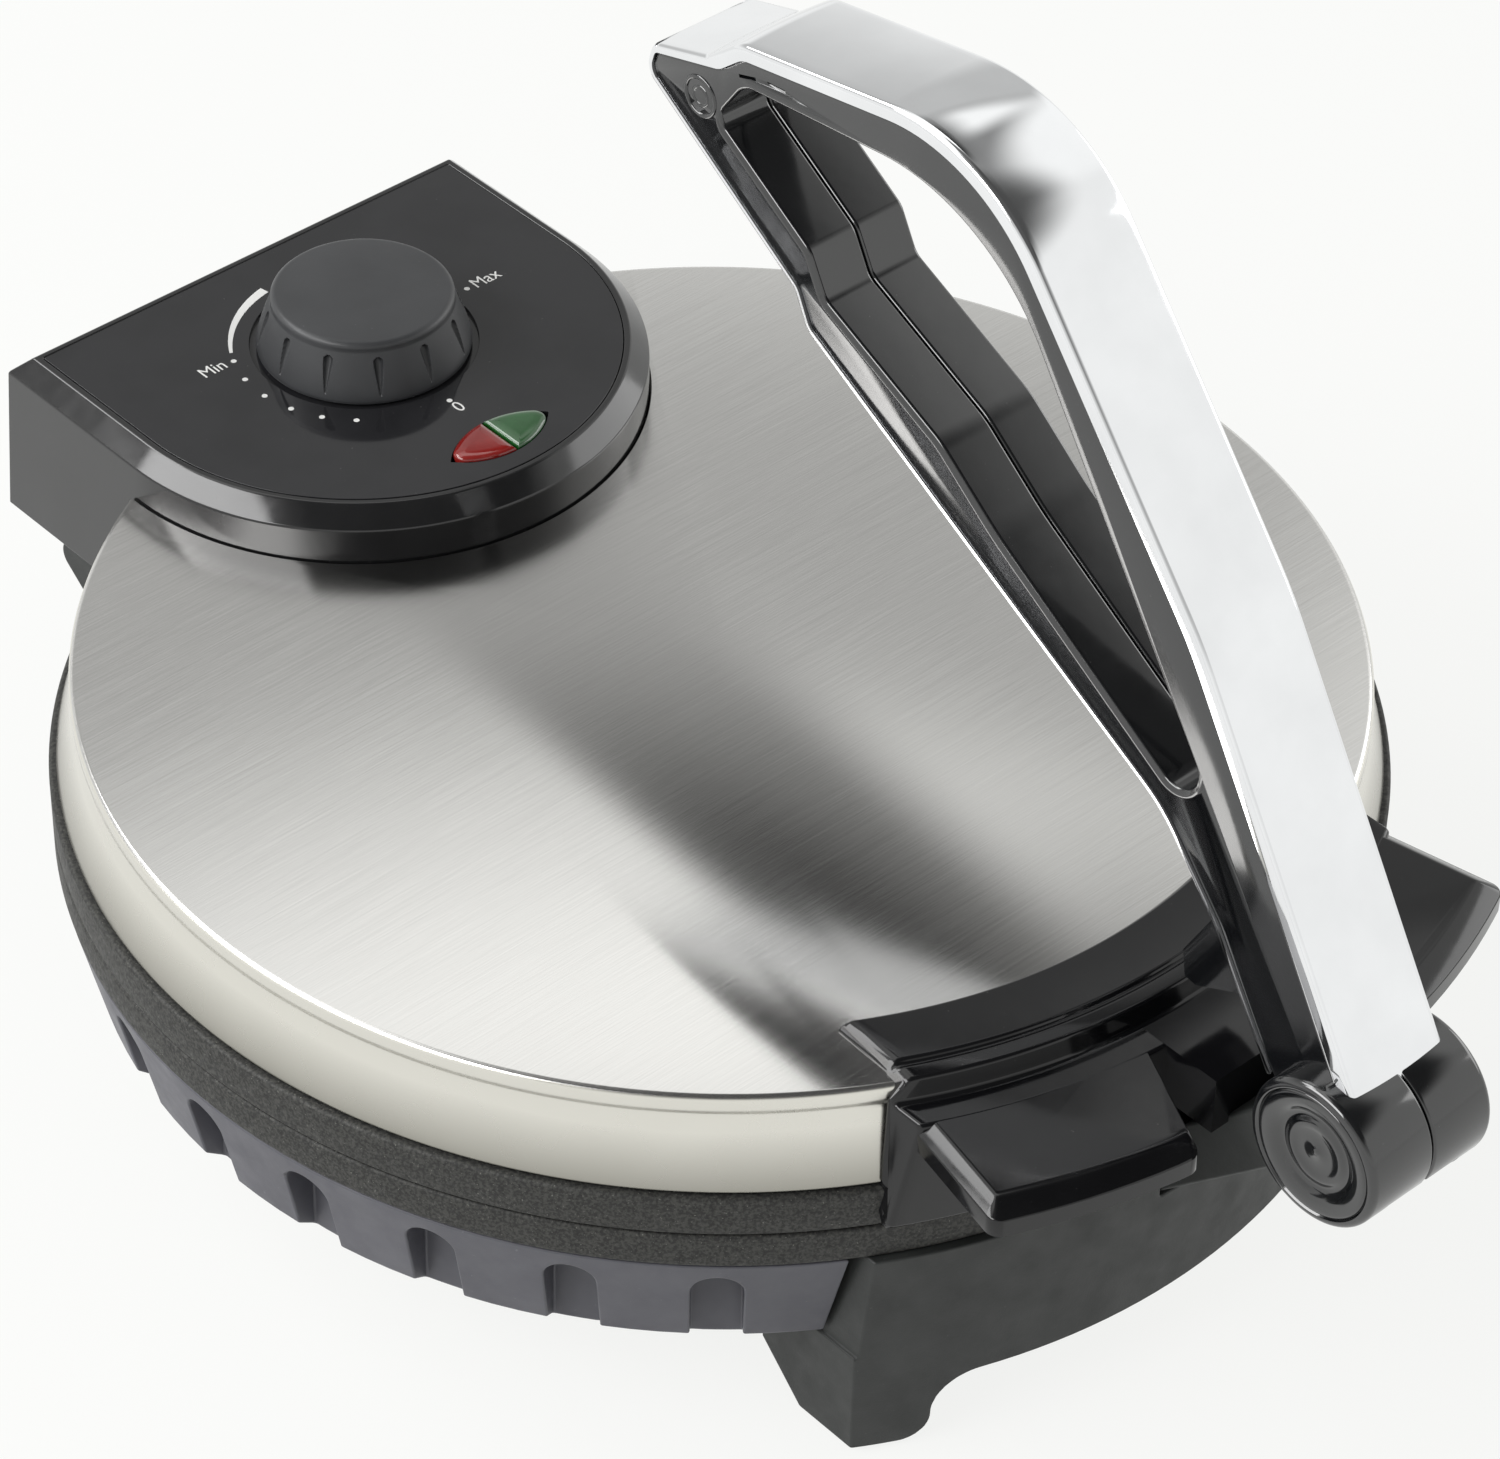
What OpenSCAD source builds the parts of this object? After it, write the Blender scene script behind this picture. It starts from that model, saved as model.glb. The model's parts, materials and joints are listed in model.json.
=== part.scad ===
// Electric roti maker: a hinged lid with a thermostat console, two cooking plates,
// a base with moulded feet, and a press lever that pivots on an arm of the base.
// Heights are measured from the table. The outlines are laid out from the lid's own
// axis, which stands a little behind the middle of the whole object.

/* [Lid] */
// Height of the lid's flat top above the table
lid_top_z = 90; // [90:0.5:92]
// Radius of the lid's flat top
lid_top_r = 129.4; // [129:0.1:129.8]
// Radius of the lid's lower edge
lid_hem_r = 133; // [132.6:0.1:133.4]
// Thickness of the lid's sheet
lid_sheet = 1.2; // [0.8:0.1:1.4]

/* [Plates] */
// Outer radius of both cooking plates
plate_r = 134.6; // [134:0.1:134.8]
// Gap between the closed plates
plate_gap = 0.3; // [0.3:0.1:0.5]
// Radius of the heating elements' loops
element_r = 85; // [70:1:95]

/* [Base] */
// Height of the base housing's upper edge
base_top_z = 51.3; // [51:0.1:51.4]
// Outer radius of the front wall
front_wall_r = 136; // [135.8:0.1:136.4]
// Number of scoops along each side of the base housing
scoop_count = 9; // [6:1:9]
// Width of one scoop
scoop_w = 10; // [8:0.5:12]
// Thickness of the rubber pads
pad_h = 1.2; // [1:0.1:1.6]

/* [Console] */
// Half width of the console
console_half_w = 60; // [60:0.1:60.4]
// Height of the console's face above the lid's top
console_rise = 12; // [11.5:0.5:12.5]
// Radius of the knob's foot
knob_r = 22.6; // [21:0.2:23.4]
// Height of the knob above the console's face
knob_h = 12.85; // [11:0.05:14]
// Number of flutes round the knob
flute_count = 12; // [8:1:16]

/* [Lever] */
// Half width of the lever's chrome shell
lever_half_w = 12; // [12:0.1:12.3]
// Radius of the lever's barrel
barrel_r = 15.3; // [15:0.1:15.6]
// Radius of the lever's pin
pin_r = 4; // [3.5:0.1:4.5]
// Angle from rest at which the lever presses the lid
press_angle = 28; // [28:1:30]

/* [Hidden] */
$fn = 96;

// The lid's axis lies this far behind the middle of the whole object
axis_y = 15.45;
far = 400;
fit = 0.05;

// Plates
plate_h = 9;
upper_plate_z = lid_top_z - 30.2;
lower_plate_top = upper_plate_z - plate_gap;
lower_plate_z = base_top_z + 0.2;
plate_wall_r = 124;
plate_web = 4.6;
dish_r = 121;
dish_depth = 1.2;
element_tube_r = 3.6;
leg_x = 12.6;
plate_clear_r = plate_r + 0.8;

// Base housing, as radius and height of the outer skin
base_wall = 2.4;
ring_top_r = 134.4;
ridge_r = 129.2;
ridge_z = 28;
ring_foot_r = 118;
ring_foot_z = 19;
ring_cut_x = 70.2;
scoop_first = 42;
scoop_step = 12;
scoop_top_z = 47.5;
scoop_floor_r = 124.5;

// Front housing
front_wall = 3;
front_wall_z = 16.5;
front_half_top = 67.4;
front_half_foot = 70;
front_back_y = -92;
foot_in_x = 56;
foot_back_y = -91;
foot_slant_y = -102;
foot_slant_z = 12.3;
foot_round = 6;
foot_fillet = 9;
rib_x = [11, 15];
rib_y = [-134, -118];
lip_w = 5;
cover_h = 1.6;
cover_gap = 2;
clamp_in_r = 106;
clamp_h = 2.2;
screw_ring_r = 110.3;

// Rear housing and hinge
hinge_y = 140.5;
hinge_z = lid_top_z - 33;
knuckle_r = 4;
hinge_pin_r = 2;
rear_half_w = 58;
rear_slope = 38.9;
lug_in_x = 34.2;
lug_out_x = 47.8;
lug_gap = 0.4;
rear_foot = [46, 111];
rear_foot_r = 8;

// Inlet for the cord, as x and z of its axis, with its neck, collars and bore
gland = [30, 34];
gland_neck_r = 6.4;
gland_collar_r = 8.4;
gland_collar_h = 3.5;
gland_bore_r = 4.5;
gland_from = 112;
gland_to = 136;
gland_inner = 115;
gland_outer = 130.6;

// Console
face_z = lid_top_z + console_rise;
knob_y = 112.5;
console_arc_y = 113;
console_chamfer = 4;
console_wall = 2.5;
console_back_y = 156.3;
console_low_back_y = 160;
console_low_z = lid_top_z - 28.5;
panel_inset = 1.4;
panel_h = 2;
notch_half_w = 61.5;
flange_half_w = 66;
lens_y = 68.5;
lens_w = 25.7;
lens_h = 11.2;
spindle_r = 3;

// Lever, with its outlines measured from the barrel's axis
barrel = [-175.6, lid_top_z - 1];
barrel_half_w = 15.8;
cap_r = 13.4;
cap_depth = 2.6;
frame_half_w = 11.6;
eye_r = 9;
eye_half_w = 9;
bush_wall = 1.6;
cavity_r = 9.4;
cavity_half_w = 9.4;
arm_angle = -45;
arm_up = 8.9;
arm_down = 3;
arm_root_z = 44;
arm_root_y = [-139.3, -122];
cradle_r = 24;
out_angle = 96;
screw_at = [171.8, 137.6];
shell_crown = 3.4;
shell_band = 1.2;

// Corners of the lever's black frame as y, z and rounding radius
frame_corners = [[6, -6, 0], [14.6, 7.1, 0], [30.5, 32.5, 12], [46, 50.5, 30], [141, 103.1, 4],
    [144.5, 110.2, 4], [185.2, 137, 3], [183.9, 141.3, 1.6], [166.5, 146.2, 6],
    [160.5, 151.2, 6], [101, 161.4, 38], [43, 88.9, 80], [-1.5, 14, 0], [-6, 4, 0]];
// The shell follows the frame from one corner to another, and ends below the barrel's skin
shell_first = 1;
shell_last = 11;
shell_sunk = 3.4;
// Thickness of chrome outside each edge of the frame, in the same order
shell_depths = [shell_band, shell_band, shell_band, shell_band, shell_band, shell_band,
    shell_band, 2, shell_crown, shell_crown, shell_crown, shell_crown, 0, 0];
// Corners of the finger slot
slot_corners = [[26.8, 44.9, 5], [91, 84.7, 60], [106.5, 96.7, 20], [137.5, 111, 4],
    [142, 119.4, 5], [167.5, 135.4, 3], [160.5, 145.3, 6], [98.5, 151.9, 44]];

function unit(v) = v / norm(v);
function xy(c) = [c[0], c[1]];
function next_of(list, i) = list[(i + 1) % len(list)];
function last_of(list, i) = list[(i + len(list) - 1) % len(list)];

// An arc of radius r that rounds the corner b between a and c
function corner_arc(a, b, c, r) =
    let (u = unit(a - b), v = unit(c - b), half = acos(u * v) / 2)
    let (p = b + u * r / tan(half), m = b + unit(u + v) * r / sin(half))
    let (q = b + v * r / tan(half))
    let (a0 = atan2(p[1] - m[1], p[0] - m[0]), a1 = atan2(q[1] - m[1], q[0] - m[0]))
    let (turn = (a1 - a0 + 540) % 360 - 180, n = max(2, ceil(abs(turn) / 12)))
    [for (i = [0:n]) m + r * [cos(a0 + turn * i / n), sin(a0 + turn * i / n)]];

function rounded_part(c, lo, hi) = [for (i = [lo:hi]) each
    c[i][2] > 0 ? corner_arc(xy(last_of(c, i)), xy(c[i]), xy(next_of(c, i)), c[i][2])
                : [xy(c[i])]];
function rounded(c) = rounded_part(c, 0, len(c) - 1);
function reversed(list) = [for (i = [len(list) - 1:-1:0]) list[i]];

// The corners of an outline whose edges have each moved outward by their own depth
function edge_out(c, i) = let (e = unit(xy(next_of(c, i)) - xy(c[i]))) [e[1], -e[0]];
function cross2(a, b) = a[0] * b[1] - a[1] * b[0];
function moved_corner(c, d, i) =
    let (n0 = edge_out(c, (i + len(c) - 1) % len(c)), n1 = edge_out(c, i))
    let (d0 = last_of(d, i), d1 = d[i], k = cross2(n0, n1))
    let (s = [(d0 * n1[1] - d1 * n0[1]) / k, (d1 * n0[0] - d0 * n1[0]) / k])
    [c[i][0] + s[0], c[i][1] + s[1],
     c[i][2] > 0 ? max(0.8, c[i][2] + sign(k) * (d0 + d1) / 2) : 0];
function grown(c, d) = [for (i = [0:len(c) - 1]) moved_corner(c, d, i)];

// Shifts from the lid's axis to the frame of the whole object
module at_lid_axis() {
    translate([0, axis_y, 0]) children();
}

module at_barrel() {
    translate([0, axis_y + barrel[0], barrel[1]]) children();
}

// Extrudes a y-z outline between two x positions
module prism_x(points, x0, x1) {
    translate([x0, 0, 0]) rotate([90, 0, 90]) linear_extrude(height = x1 - x0) polygon(points);
}

// Extrudes an x-z outline between two y positions
module prism_y(points, y0, y1) {
    translate([0, y1, 0]) rotate([90, 0, 0]) linear_extrude(height = y1 - y0) polygon(points);
}

module rod_x(r, x0, x1) {
    translate([x0, 0, 0]) rotate([0, 90, 0]) cylinder(r = r, h = x1 - x0);
}

module box(lo, hi) {
    translate(lo) cube(hi - lo);
}

module ring(r0, r1, z0, z1) {
    rotate_extrude($fn = 180) polygon([[r0, z0], [r1, z0], [r1, z1], [r0, z1]]);
}

module both_sides() {
    children();
    mirror([1, 0, 0]) children();
}

// The D shaped plan of the console, grown to half width w, back to y1
module console_plan(w, y1) {
    intersection() {
        translate([0, console_arc_y]) circle(r = w, $fn = 180);
        translate([-far, -far]) square([2 * far, console_arc_y + far]);
    }
    translate([-w, console_arc_y]) square([2 * w, y1 - console_arc_y]);
}

module console_block(w, y1, z0, z1) {
    translate([0, 0, z0]) linear_extrude(height = z1 - z0) console_plan(w, y1);
}

module lens_plan(grow) {
    lens_r = (pow(lens_w / 2, 2) + pow(lens_h / 2, 2)) / lens_h;
    intersection() {
        translate([0, lens_y + lens_r - lens_h / 2]) circle(r = lens_r + grow, $fn = 180);
        translate([0, lens_y - lens_r + lens_h / 2]) circle(r = lens_r + grow, $fn = 180);
    }
}

// Solid inside the base housing's outer skin, grown by g
module base_skin(g) {
    rotate_extrude($fn = 180) polygon([[0, ring_foot_z - g], [ring_foot_r, ring_foot_z - g],
        [ridge_r + g, ridge_z], [ring_top_r + g, base_top_z], [0, base_top_z]]);
}

// One scoop of the base housing, pointing along +X, grown by g
module scoop(g) {
    r = scoop_w / 2 + g;
    translate([scoop_floor_r - g, 0, scoop_top_z - scoop_w / 2]) rotate([90, 0, 90])
        cylinder(r = r, h = 30, $fn = 48);
    box([scoop_floor_r - g, -r, ring_foot_z - 1], [scoop_floor_r + 30, r, scoop_top_z - scoop_w / 2]);
}

module scoops(g) {
    for (side = [0, 1]) mirror([side, 0, 0])
        for (i = [0:scoop_count - 1])
            rotate([0, 0, scoop_first + scoop_step * i - 90]) scoop(g);
}

// The space at the front between x and -x, which the front housing fills
module front_zone(x) {
    box([-x, -far, -1], [x, 0, far]);
}

module base_housing() color("#4e4e55") at_lid_axis() {
    difference() {
        union() {
            difference() {
                base_skin(0);
                rotate_extrude($fn = 180) polygon([[0, 0], [ring_foot_r - lip_w, 0],
                    [ring_foot_r - lip_w, ring_foot_z + base_wall],
                    [ring_foot_r - 1, ring_foot_z + base_wall],
                    [ridge_r - base_wall, ridge_z + 1], [ring_top_r - base_wall, base_top_z - 3],
                    [ring_top_r - base_wall - 6, base_top_z - 3],
                    [ring_top_r - base_wall - 6, base_top_z + 1], [0, base_top_z + 1]]);
            }
            ring(ring_top_r - 9, ring_top_r - 3, base_top_z - 3, lower_plate_z);
            intersection() {
                scoops(base_wall);
                base_skin(0);
                ring(scoop_floor_r - base_wall, ring_top_r, ring_foot_z, base_top_z);
            }
        }
        scoops(0);
        difference() {
            front_zone(ring_cut_x);
            cylinder(r = ring_foot_r, h = ring_foot_z + base_wall + 1, $fn = 180);
        }
        translate([gland[0], far, gland[1]]) rotate([90, 0, 0])
            cylinder(r = gland_neck_r + 0.1, h = far, $fn = 64);
    }
}

module front_foot() {
    intersection() {
        cylinder(r = front_wall_r, h = far, $fn = 180);
        prism_x([[foot_back_y, 26], [foot_back_y, foot_slant_z], [foot_slant_y, pad_h],
            [-far, pad_h], [-far, 26]], foot_in_x, front_half_foot);
        union() {
            box([foot_in_x, -far, pad_h + foot_round], [far, 0, far]);
            box([foot_in_x + foot_round, -far, 0], [far, 0, far]);
            translate([foot_in_x + foot_round, 0, pad_h + foot_round]) rotate([90, 0, 0])
                cylinder(r = foot_round, h = far, $fn = 48);
        }
    }
    intersection() {
        difference() {
            cylinder(r = front_wall_r, h = far, $fn = 180);
            cylinder(r = front_wall_r - front_wall, h = far, $fn = 180);
        }
        difference() {
            box([foot_in_x - foot_fillet, -far, front_wall_z - foot_fillet],
                [foot_in_x + 1, 0, front_wall_z + 1]);
            translate([foot_in_x - foot_fillet, 0, front_wall_z - foot_fillet]) rotate([90, 0, 0])
                cylinder(r = foot_fillet, h = far, $fn = 48);
        }
    }
}

module front_housing() color("#2a2b2b") at_lid_axis() {
    difference() {
        union() {
            intersection() {
                difference() {
                    cylinder(r = front_wall_r, h = base_top_z, $fn = 180);
                    intersection() {
                        cylinder(r = front_wall_r - front_wall, h = far, $fn = 180);
                        box([-front_half_top + 3, -far, 0], [front_half_top - 3, 0, far]);
                    }
                }
                prism_y([[-front_half_top, base_top_z], [-front_half_foot, front_wall_z],
                    [front_half_foot, front_wall_z], [front_half_top, base_top_z]], -far, front_back_y);
            }
            intersection() {
                ring(ring_foot_r, front_wall_r - front_wall + 1, ring_foot_z, ring_foot_z + base_wall);
                front_zone(front_half_top);
            }
            both_sides() front_foot();
            both_sides() box([rib_x[0], rib_y[0], ring_foot_z + 1], [rib_x[1], rib_y[1], arm_root_z]);
        }
        box([-eye_half_w - 0.3, -far, arm_root_z - 0.4], [eye_half_w + 0.3, -130, far]);
        ring(0, ring_foot_r + 0.1, ring_foot_z - 0.1, 46);
    }
}

// Outline of the rear housing seen from the side, with a round edge along the hinge
function rear_outline() =
    let (turn = 180 - rear_slope, steps = 14, slope_run = 40)
    let (arc = [for (i = [0:steps]) let (a = rear_slope - 90 + turn * i / steps)
        [hinge_y + knuckle_r * cos(a), hinge_z + knuckle_r * sin(a)]])
    concat(arc, [[100, hinge_z + knuckle_r],
        arc[0] - slope_run * [cos(rear_slope), sin(rear_slope)]]);

// The space that one hinge lug and its neck sweep
module lug_sweep() {
    lug_space_r = knuckle_r + 0.8;
    neck_space_r = 6.4;
    neck_lean = -48;
    rod_x(lug_space_r, lug_in_x - lug_gap, lug_out_x + lug_gap);
    intersection() {
        rod_x(neck_space_r, lug_in_x - lug_gap, lug_out_x + lug_gap);
        rotate([neck_lean, 0, 0]) box([0, -far, -0.5], [far, far, far]);
    }
}

module rear_housing() color("#232425") at_lid_axis() {
    pocket_half = 30;
    pocket_z = 43;
    difference() {
        prism_x(rear_outline(), -rear_half_w, rear_half_w);
        base_skin(0.1);
        cylinder(r = plate_clear_r, h = hinge_z + 1, $fn = 180);
        translate([0, 0, hinge_z + 0.9]) cylinder(r = plate_clear_r + 1.6, h = far, $fn = 180);
        box([-pocket_half, 0, pocket_z], [pocket_half, hinge_y - 6, hinge_z + 1]);
        both_sides() translate([0, hinge_y, hinge_z]) {
            lug_sweep();
            rod_x(hinge_pin_r, lug_in_x - 3, lug_out_x + 3);
        }
    }
}

module hinge_pins() color("silver") at_lid_axis() {
    both_sides() translate([0, hinge_y, hinge_z]) rod_x(hinge_pin_r, lug_in_x - 3, lug_out_x + 3);
}

module lower_plate() color("#323230") at_lid_axis() {
    web_z = lower_plate_top - dish_depth - plate_web;
    rotate_extrude($fn = 180) polygon([[0, web_z], [plate_wall_r, web_z],
        [plate_wall_r, lower_plate_z], [plate_r - 0.6, lower_plate_z], [plate_r, lower_plate_z + 0.6],
        [plate_r, lower_plate_top - 0.6], [plate_r - 0.6, lower_plate_top], [dish_r + 1, lower_plate_top],
        [dish_r, lower_plate_top - dish_depth], [0, lower_plate_top - dish_depth]]);
}

module upper_plate() color("#323230") at_lid_axis() {
    web_z = upper_plate_z + plate_web;
    top = upper_plate_z + plate_h;
    rotate_extrude($fn = 180) polygon([[0, upper_plate_z], [plate_r - 0.6, upper_plate_z],
        [plate_r, upper_plate_z + 0.6], [plate_r, top - 0.6], [plate_r - 0.6, top],
        [plate_wall_r, top], [plate_wall_r, web_z], [0, web_z]]);
}

// A loop of tube with its two ends turned away from the plate, by drop
module heating_element(z, drop) {
    half_gap = 9;
    difference() {
        translate([0, 0, z]) rotate_extrude($fn = 180)
            translate([element_r, 0]) circle(r = element_tube_r, $fn = 32);
        box([-half_gap, 0, z - 9], [half_gap, far, z + 9]);
    }
    for (side = [-1, 1])
        translate([side * leg_x, sqrt(pow(element_r, 2) - pow(leg_x, 2)), min(z, z + drop)])
            cylinder(r = element_tube_r - 0.8, h = abs(drop), $fn = 32);
}

module lower_heating_element() color("#6a6a6a") at_lid_axis() {
    web_z = lower_plate_top - dish_depth - plate_web;
    heating_element(web_z - element_tube_r - 0.1, -14);
}

module upper_heating_element() color("#6a6a6a") at_lid_axis() {
    heating_element(upper_plate_z + plate_web + element_tube_r + 0.1, 14);
}

// A thin dish with its rim at rim_z, deeper by drop, and holes for the element's ends
module heat_shield(rim_z, drop) {
    sheet = 0.8;
    difference() {
        rotate_extrude($fn = 120) polygon([[0, rim_z + drop], [108, rim_z + drop], [114, rim_z],
            [118, rim_z], [118, rim_z + sheet], [113.5, rim_z + sheet],
            [107.5, rim_z + drop + sheet], [0, rim_z + drop + sheet]]);
        for (side = [-1, 1])
            translate([side * leg_x, sqrt(pow(element_r, 2) - pow(leg_x, 2)), rim_z - 30])
                cylinder(r = 5, h = 60, $fn = 32);
    }
}

module lower_heat_shield() color("#b9bcc0") at_lid_axis() {
    heat_shield(43, -4);
}

module upper_heat_shield() color("#b9bcc0") at_lid_axis() {
    heat_shield(lid_top_z - 20, 4);
}

module screw_places() {
    for (a = [45:90:315]) rotate([0, 0, a]) translate([screw_ring_r, 0, 0]) children();
}

module bottom_cover() color("#3a3b3d") at_lid_axis() {
    difference() {
        ring(0, ring_foot_r - cover_gap, ring_foot_z - cover_h, ring_foot_z);
        for (a = [0:20:340]) rotate([0, 0, a])
            box([40, -2.5, 0], [72, 2.5, ring_foot_z + 1]);
        screw_places() cylinder(r = 1.8, h = far, $fn = 24);
        for (side = [-1, 1])
            translate([side * rear_foot[0], rear_foot[1], 0])
                cylinder(r = rear_foot_r + 0.3, h = far);
        both_sides() box([foot_in_x - 0.3, -far, 0], [front_half_foot + 1, foot_back_y + 0.3, far]);
    }
}

// A flat ring over the housing's lip, which the screws pull down on to it
module clamp_ring() color("#8f9296") at_lid_axis() {
    lip_top = ring_foot_z + base_wall;
    difference() {
        ring(clamp_in_r, ring_foot_r - 1.1, lip_top, lip_top + clamp_h);
        screw_places() cylinder(r = 1.8, h = far, $fn = 24);
    }
}

module base_screws() color("silver") at_lid_axis() {
    low = ring_foot_z - 2 * cover_h;
    screw_places() translate([0, 0, low]) {
        cylinder(r = 3.2, h = cover_h, $fn = 24);
        cylinder(r = 1.7, h = ring_foot_z + base_wall + clamp_h - 0.6 - low, $fn = 24);
    }
}

module rear_feet() color("#2a2b2b") at_lid_axis() {
    for (side = [-1, 1]) translate([side * rear_foot[0], rear_foot[1], pad_h])
        cylinder(r = rear_foot_r, h = ring_foot_z - pad_h);
}

// The arm leaves the base through a notch, passes outside the plates and the
// bracket's skirt, and rises at an angle to the barrel's axis
module lever_arm() color("#1c1d1f") at_barrel() {
    u = [cos(arm_angle), sin(arm_angle)];
    n = [-u[1], u[0]];
    low = -arm_down * n;
    high = arm_up * n;
    root_z = arm_root_z - barrel[1];
    root_top = base_top_z - 0.4 - barrel[1];
    step_z = console_low_z - 1.3 - barrel[1];
    back_y = arm_root_y[0] - barrel[0];
    inner_y = arm_root_y[1] - barrel[0];
    neck_y = -plate_clear_r - 0.2 - barrel[0];
    difference() {
        union() {
            rod_x(eye_r, -eye_half_w, eye_half_w);
            prism_x([low, low - (low[1] - root_z) / u[1] * u, [inner_y, root_z],
                [inner_y, root_top], [neck_y, root_top], [neck_y, step_z],
                [back_y, step_z], high + (back_y - high[0]) / u[0] * u, high],
                -eye_half_w, eye_half_w);
        }
        rod_x(pin_r + bush_wall, -far, far);
    }
}

module pivot_bush() color("#b08d57") at_barrel() {
    difference() {
        rod_x(pin_r + bush_wall, -eye_half_w, eye_half_w);
        rod_x(pin_r + fit, -far, far);
    }
}

module rubber_feet() color("#18191a") at_lid_axis() {
    both_sides() intersection() {
        cylinder(r = front_wall_r - 2, h = pad_h, $fn = 180);
        box([foot_in_x + foot_round, -far, 0], [front_half_foot - 2, foot_slant_y - 2, pad_h]);
    }
    for (side = [-1, 1]) translate([side * rear_foot[0], rear_foot[1], 0])
        cylinder(r = rear_foot_r - 1, h = pad_h);
}

module cord_gland() color("#202122") at_lid_axis() {
    translate([gland[0], 0, gland[1]]) rotate([-90, 0, 0]) difference() {
        union() {
            translate([0, 0, gland_from])
                cylinder(r = gland_neck_r, h = gland_to - gland_from, $fn = 64);
            for (start = [gland_inner, gland_outer])
                translate([0, 0, start]) cylinder(r = gland_collar_r, h = gland_collar_h, $fn = 64);
        }
        translate([0, 0, gland_from - 1])
            cylinder(r = gland_bore_r, h = gland_to - gland_from + 2, $fn = 64);
    }
}

module terminal_block() color("#d9d5c7") at_lid_axis() {
    pitch = 12;
    depth = 14;
    translate([-40, 70, ring_foot_z]) difference() {
        box([0, 0, 0.2], [3 * pitch, depth, pitch]);
        for (i = [0:2]) translate([(i + 0.5) * pitch, depth / 2, pitch / 2])
            cylinder(r = 2.4, h = pitch, $fn = 24);
    }
}

module thermal_fuse() color("#c8c8c4") at_lid_axis() {
    web_z = lower_plate_top - dish_depth - plate_web;
    translate([0, -40, web_z - 4]) {
        rod_x(3.4, -11, 11);
        box([-4, -5.5, -3.9], [4, 5.5, 3.9]);
    }
}

module lid_cover() color("#c9c9c7") at_lid_axis() {
    shoulder = 1.2;
    neck_r = lid_top_r - 0.6;
    neck_z = lid_top_z - 4.9;
    hem_z = lid_top_z - 20.6;
    difference() {
        rotate_extrude($fn = 180) polygon([[0, lid_top_z], [lid_top_r - shoulder, lid_top_z],
            [lid_top_r - 0.35, lid_top_z - 0.35], [lid_top_r, lid_top_z - shoulder],
            [lid_top_r, lid_top_z - 3], [neck_r, neck_z], [lid_hem_r, hem_z],
            [lid_hem_r - lid_sheet, hem_z], [neck_r - lid_sheet, neck_z],
            [lid_top_r - lid_sheet, lid_top_z - 3], [lid_top_r - lid_sheet, lid_top_z - shoulder],
            [lid_top_r - 2.4, lid_top_z - lid_sheet], [0, lid_top_z - lid_sheet]]);
        console_block(notch_half_w, far, hem_z - 1, lid_top_z + 1);
    }
}

// Cuts a bevel w wide and h deep along the top edge from p to q, with the solid on its left
module edge_bevel(p, q, z, w, h) {
    d = q - p;
    translate([p[0], p[1], z]) rotate([0, 0, atan2(d[1], d[0])])
        prism_x([[-w, -2 * h], [2 * w, h], [-w, h]], -20, norm(d) + 20);
}

// The part of the bracket that follows the lid round, as radius and height
module bracket_ring() {
    wing_z = lid_top_z - 3;
    skirt_z = console_low_z - 0.5;
    skirt_r = 138;
    clear = 0.1;
    rotate_extrude($fn = 180) polygon([[skirt_r, skirt_z], [skirt_r, wing_z], [131.2, wing_z],
        [130, lid_top_z + 1.4], [127, lid_top_z + 1.8], [126.2, lid_top_z + 1.2],
        [125.5, lid_top_z + 2.4], [113, lid_top_z + 2.4], [112.5, lid_top_z + 1.9],
        [112.5, lid_top_z], [lid_top_r + clear, lid_top_z], [lid_top_r + clear, lid_top_z - 3.2],
        [lid_hem_r + clear, lid_top_z - 20.6], [plate_clear_r, lid_top_z - 20.9],
        [plate_clear_r, skirt_z]]);
}

module bracket_wing() {
    wing_z = lid_top_z - 3;
    under_z = lid_top_z - 9.5;
    root_r = 136.5;
    wing_r = 162.5;
    side_a = [-61, -116];
    side_b = [-68.6, -151];
    bay_in = [-14, -131];
    bay_out = [-27.5, -160];
    difference() {
        intersection() {
            rotate_extrude($fn = 180) polygon([[root_r, under_z], [wing_r, under_z],
                [wing_r, wing_z - 2], [wing_r - 4.5, wing_z], [root_r, wing_z]]);
            translate([0, 0, under_z - 1]) linear_extrude(height = wing_z - under_z + 2)
                polygon([side_a, side_b, [side_b[0] + 2, -170], [bay_out[0] - 4.6, -170],
                    bay_out, bay_in, [-14, -120]]);
        }
        edge_bevel(side_a, side_b, wing_z, 3, 2);
        edge_bevel(bay_out, bay_in, wing_z, 0.8, 0.8);
    }
}

module lid_bracket() color("#101113") at_lid_axis() {
    difference() {
        union() {
            intersection() {
                bracket_ring();
                prism_y([[-57, lid_top_z + 3], [-62, lid_top_z - 2], [-67, console_low_z - 1],
                    [67, console_low_z - 1], [62, lid_top_z - 2], [57, lid_top_z + 3]], -far, 0);
            }
            both_sides() bracket_wing();
        }
        prism_x([[-130.6, lid_top_z - 2.9], [-130.6, lid_top_z - 5.2], [-135.6, lid_top_z - 12],
            [-138.5, lid_top_z - 16], [-far, lid_top_z - 16], [-far, lid_top_z - 2.9]], -13.5, 13.5);
    }
}

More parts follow.
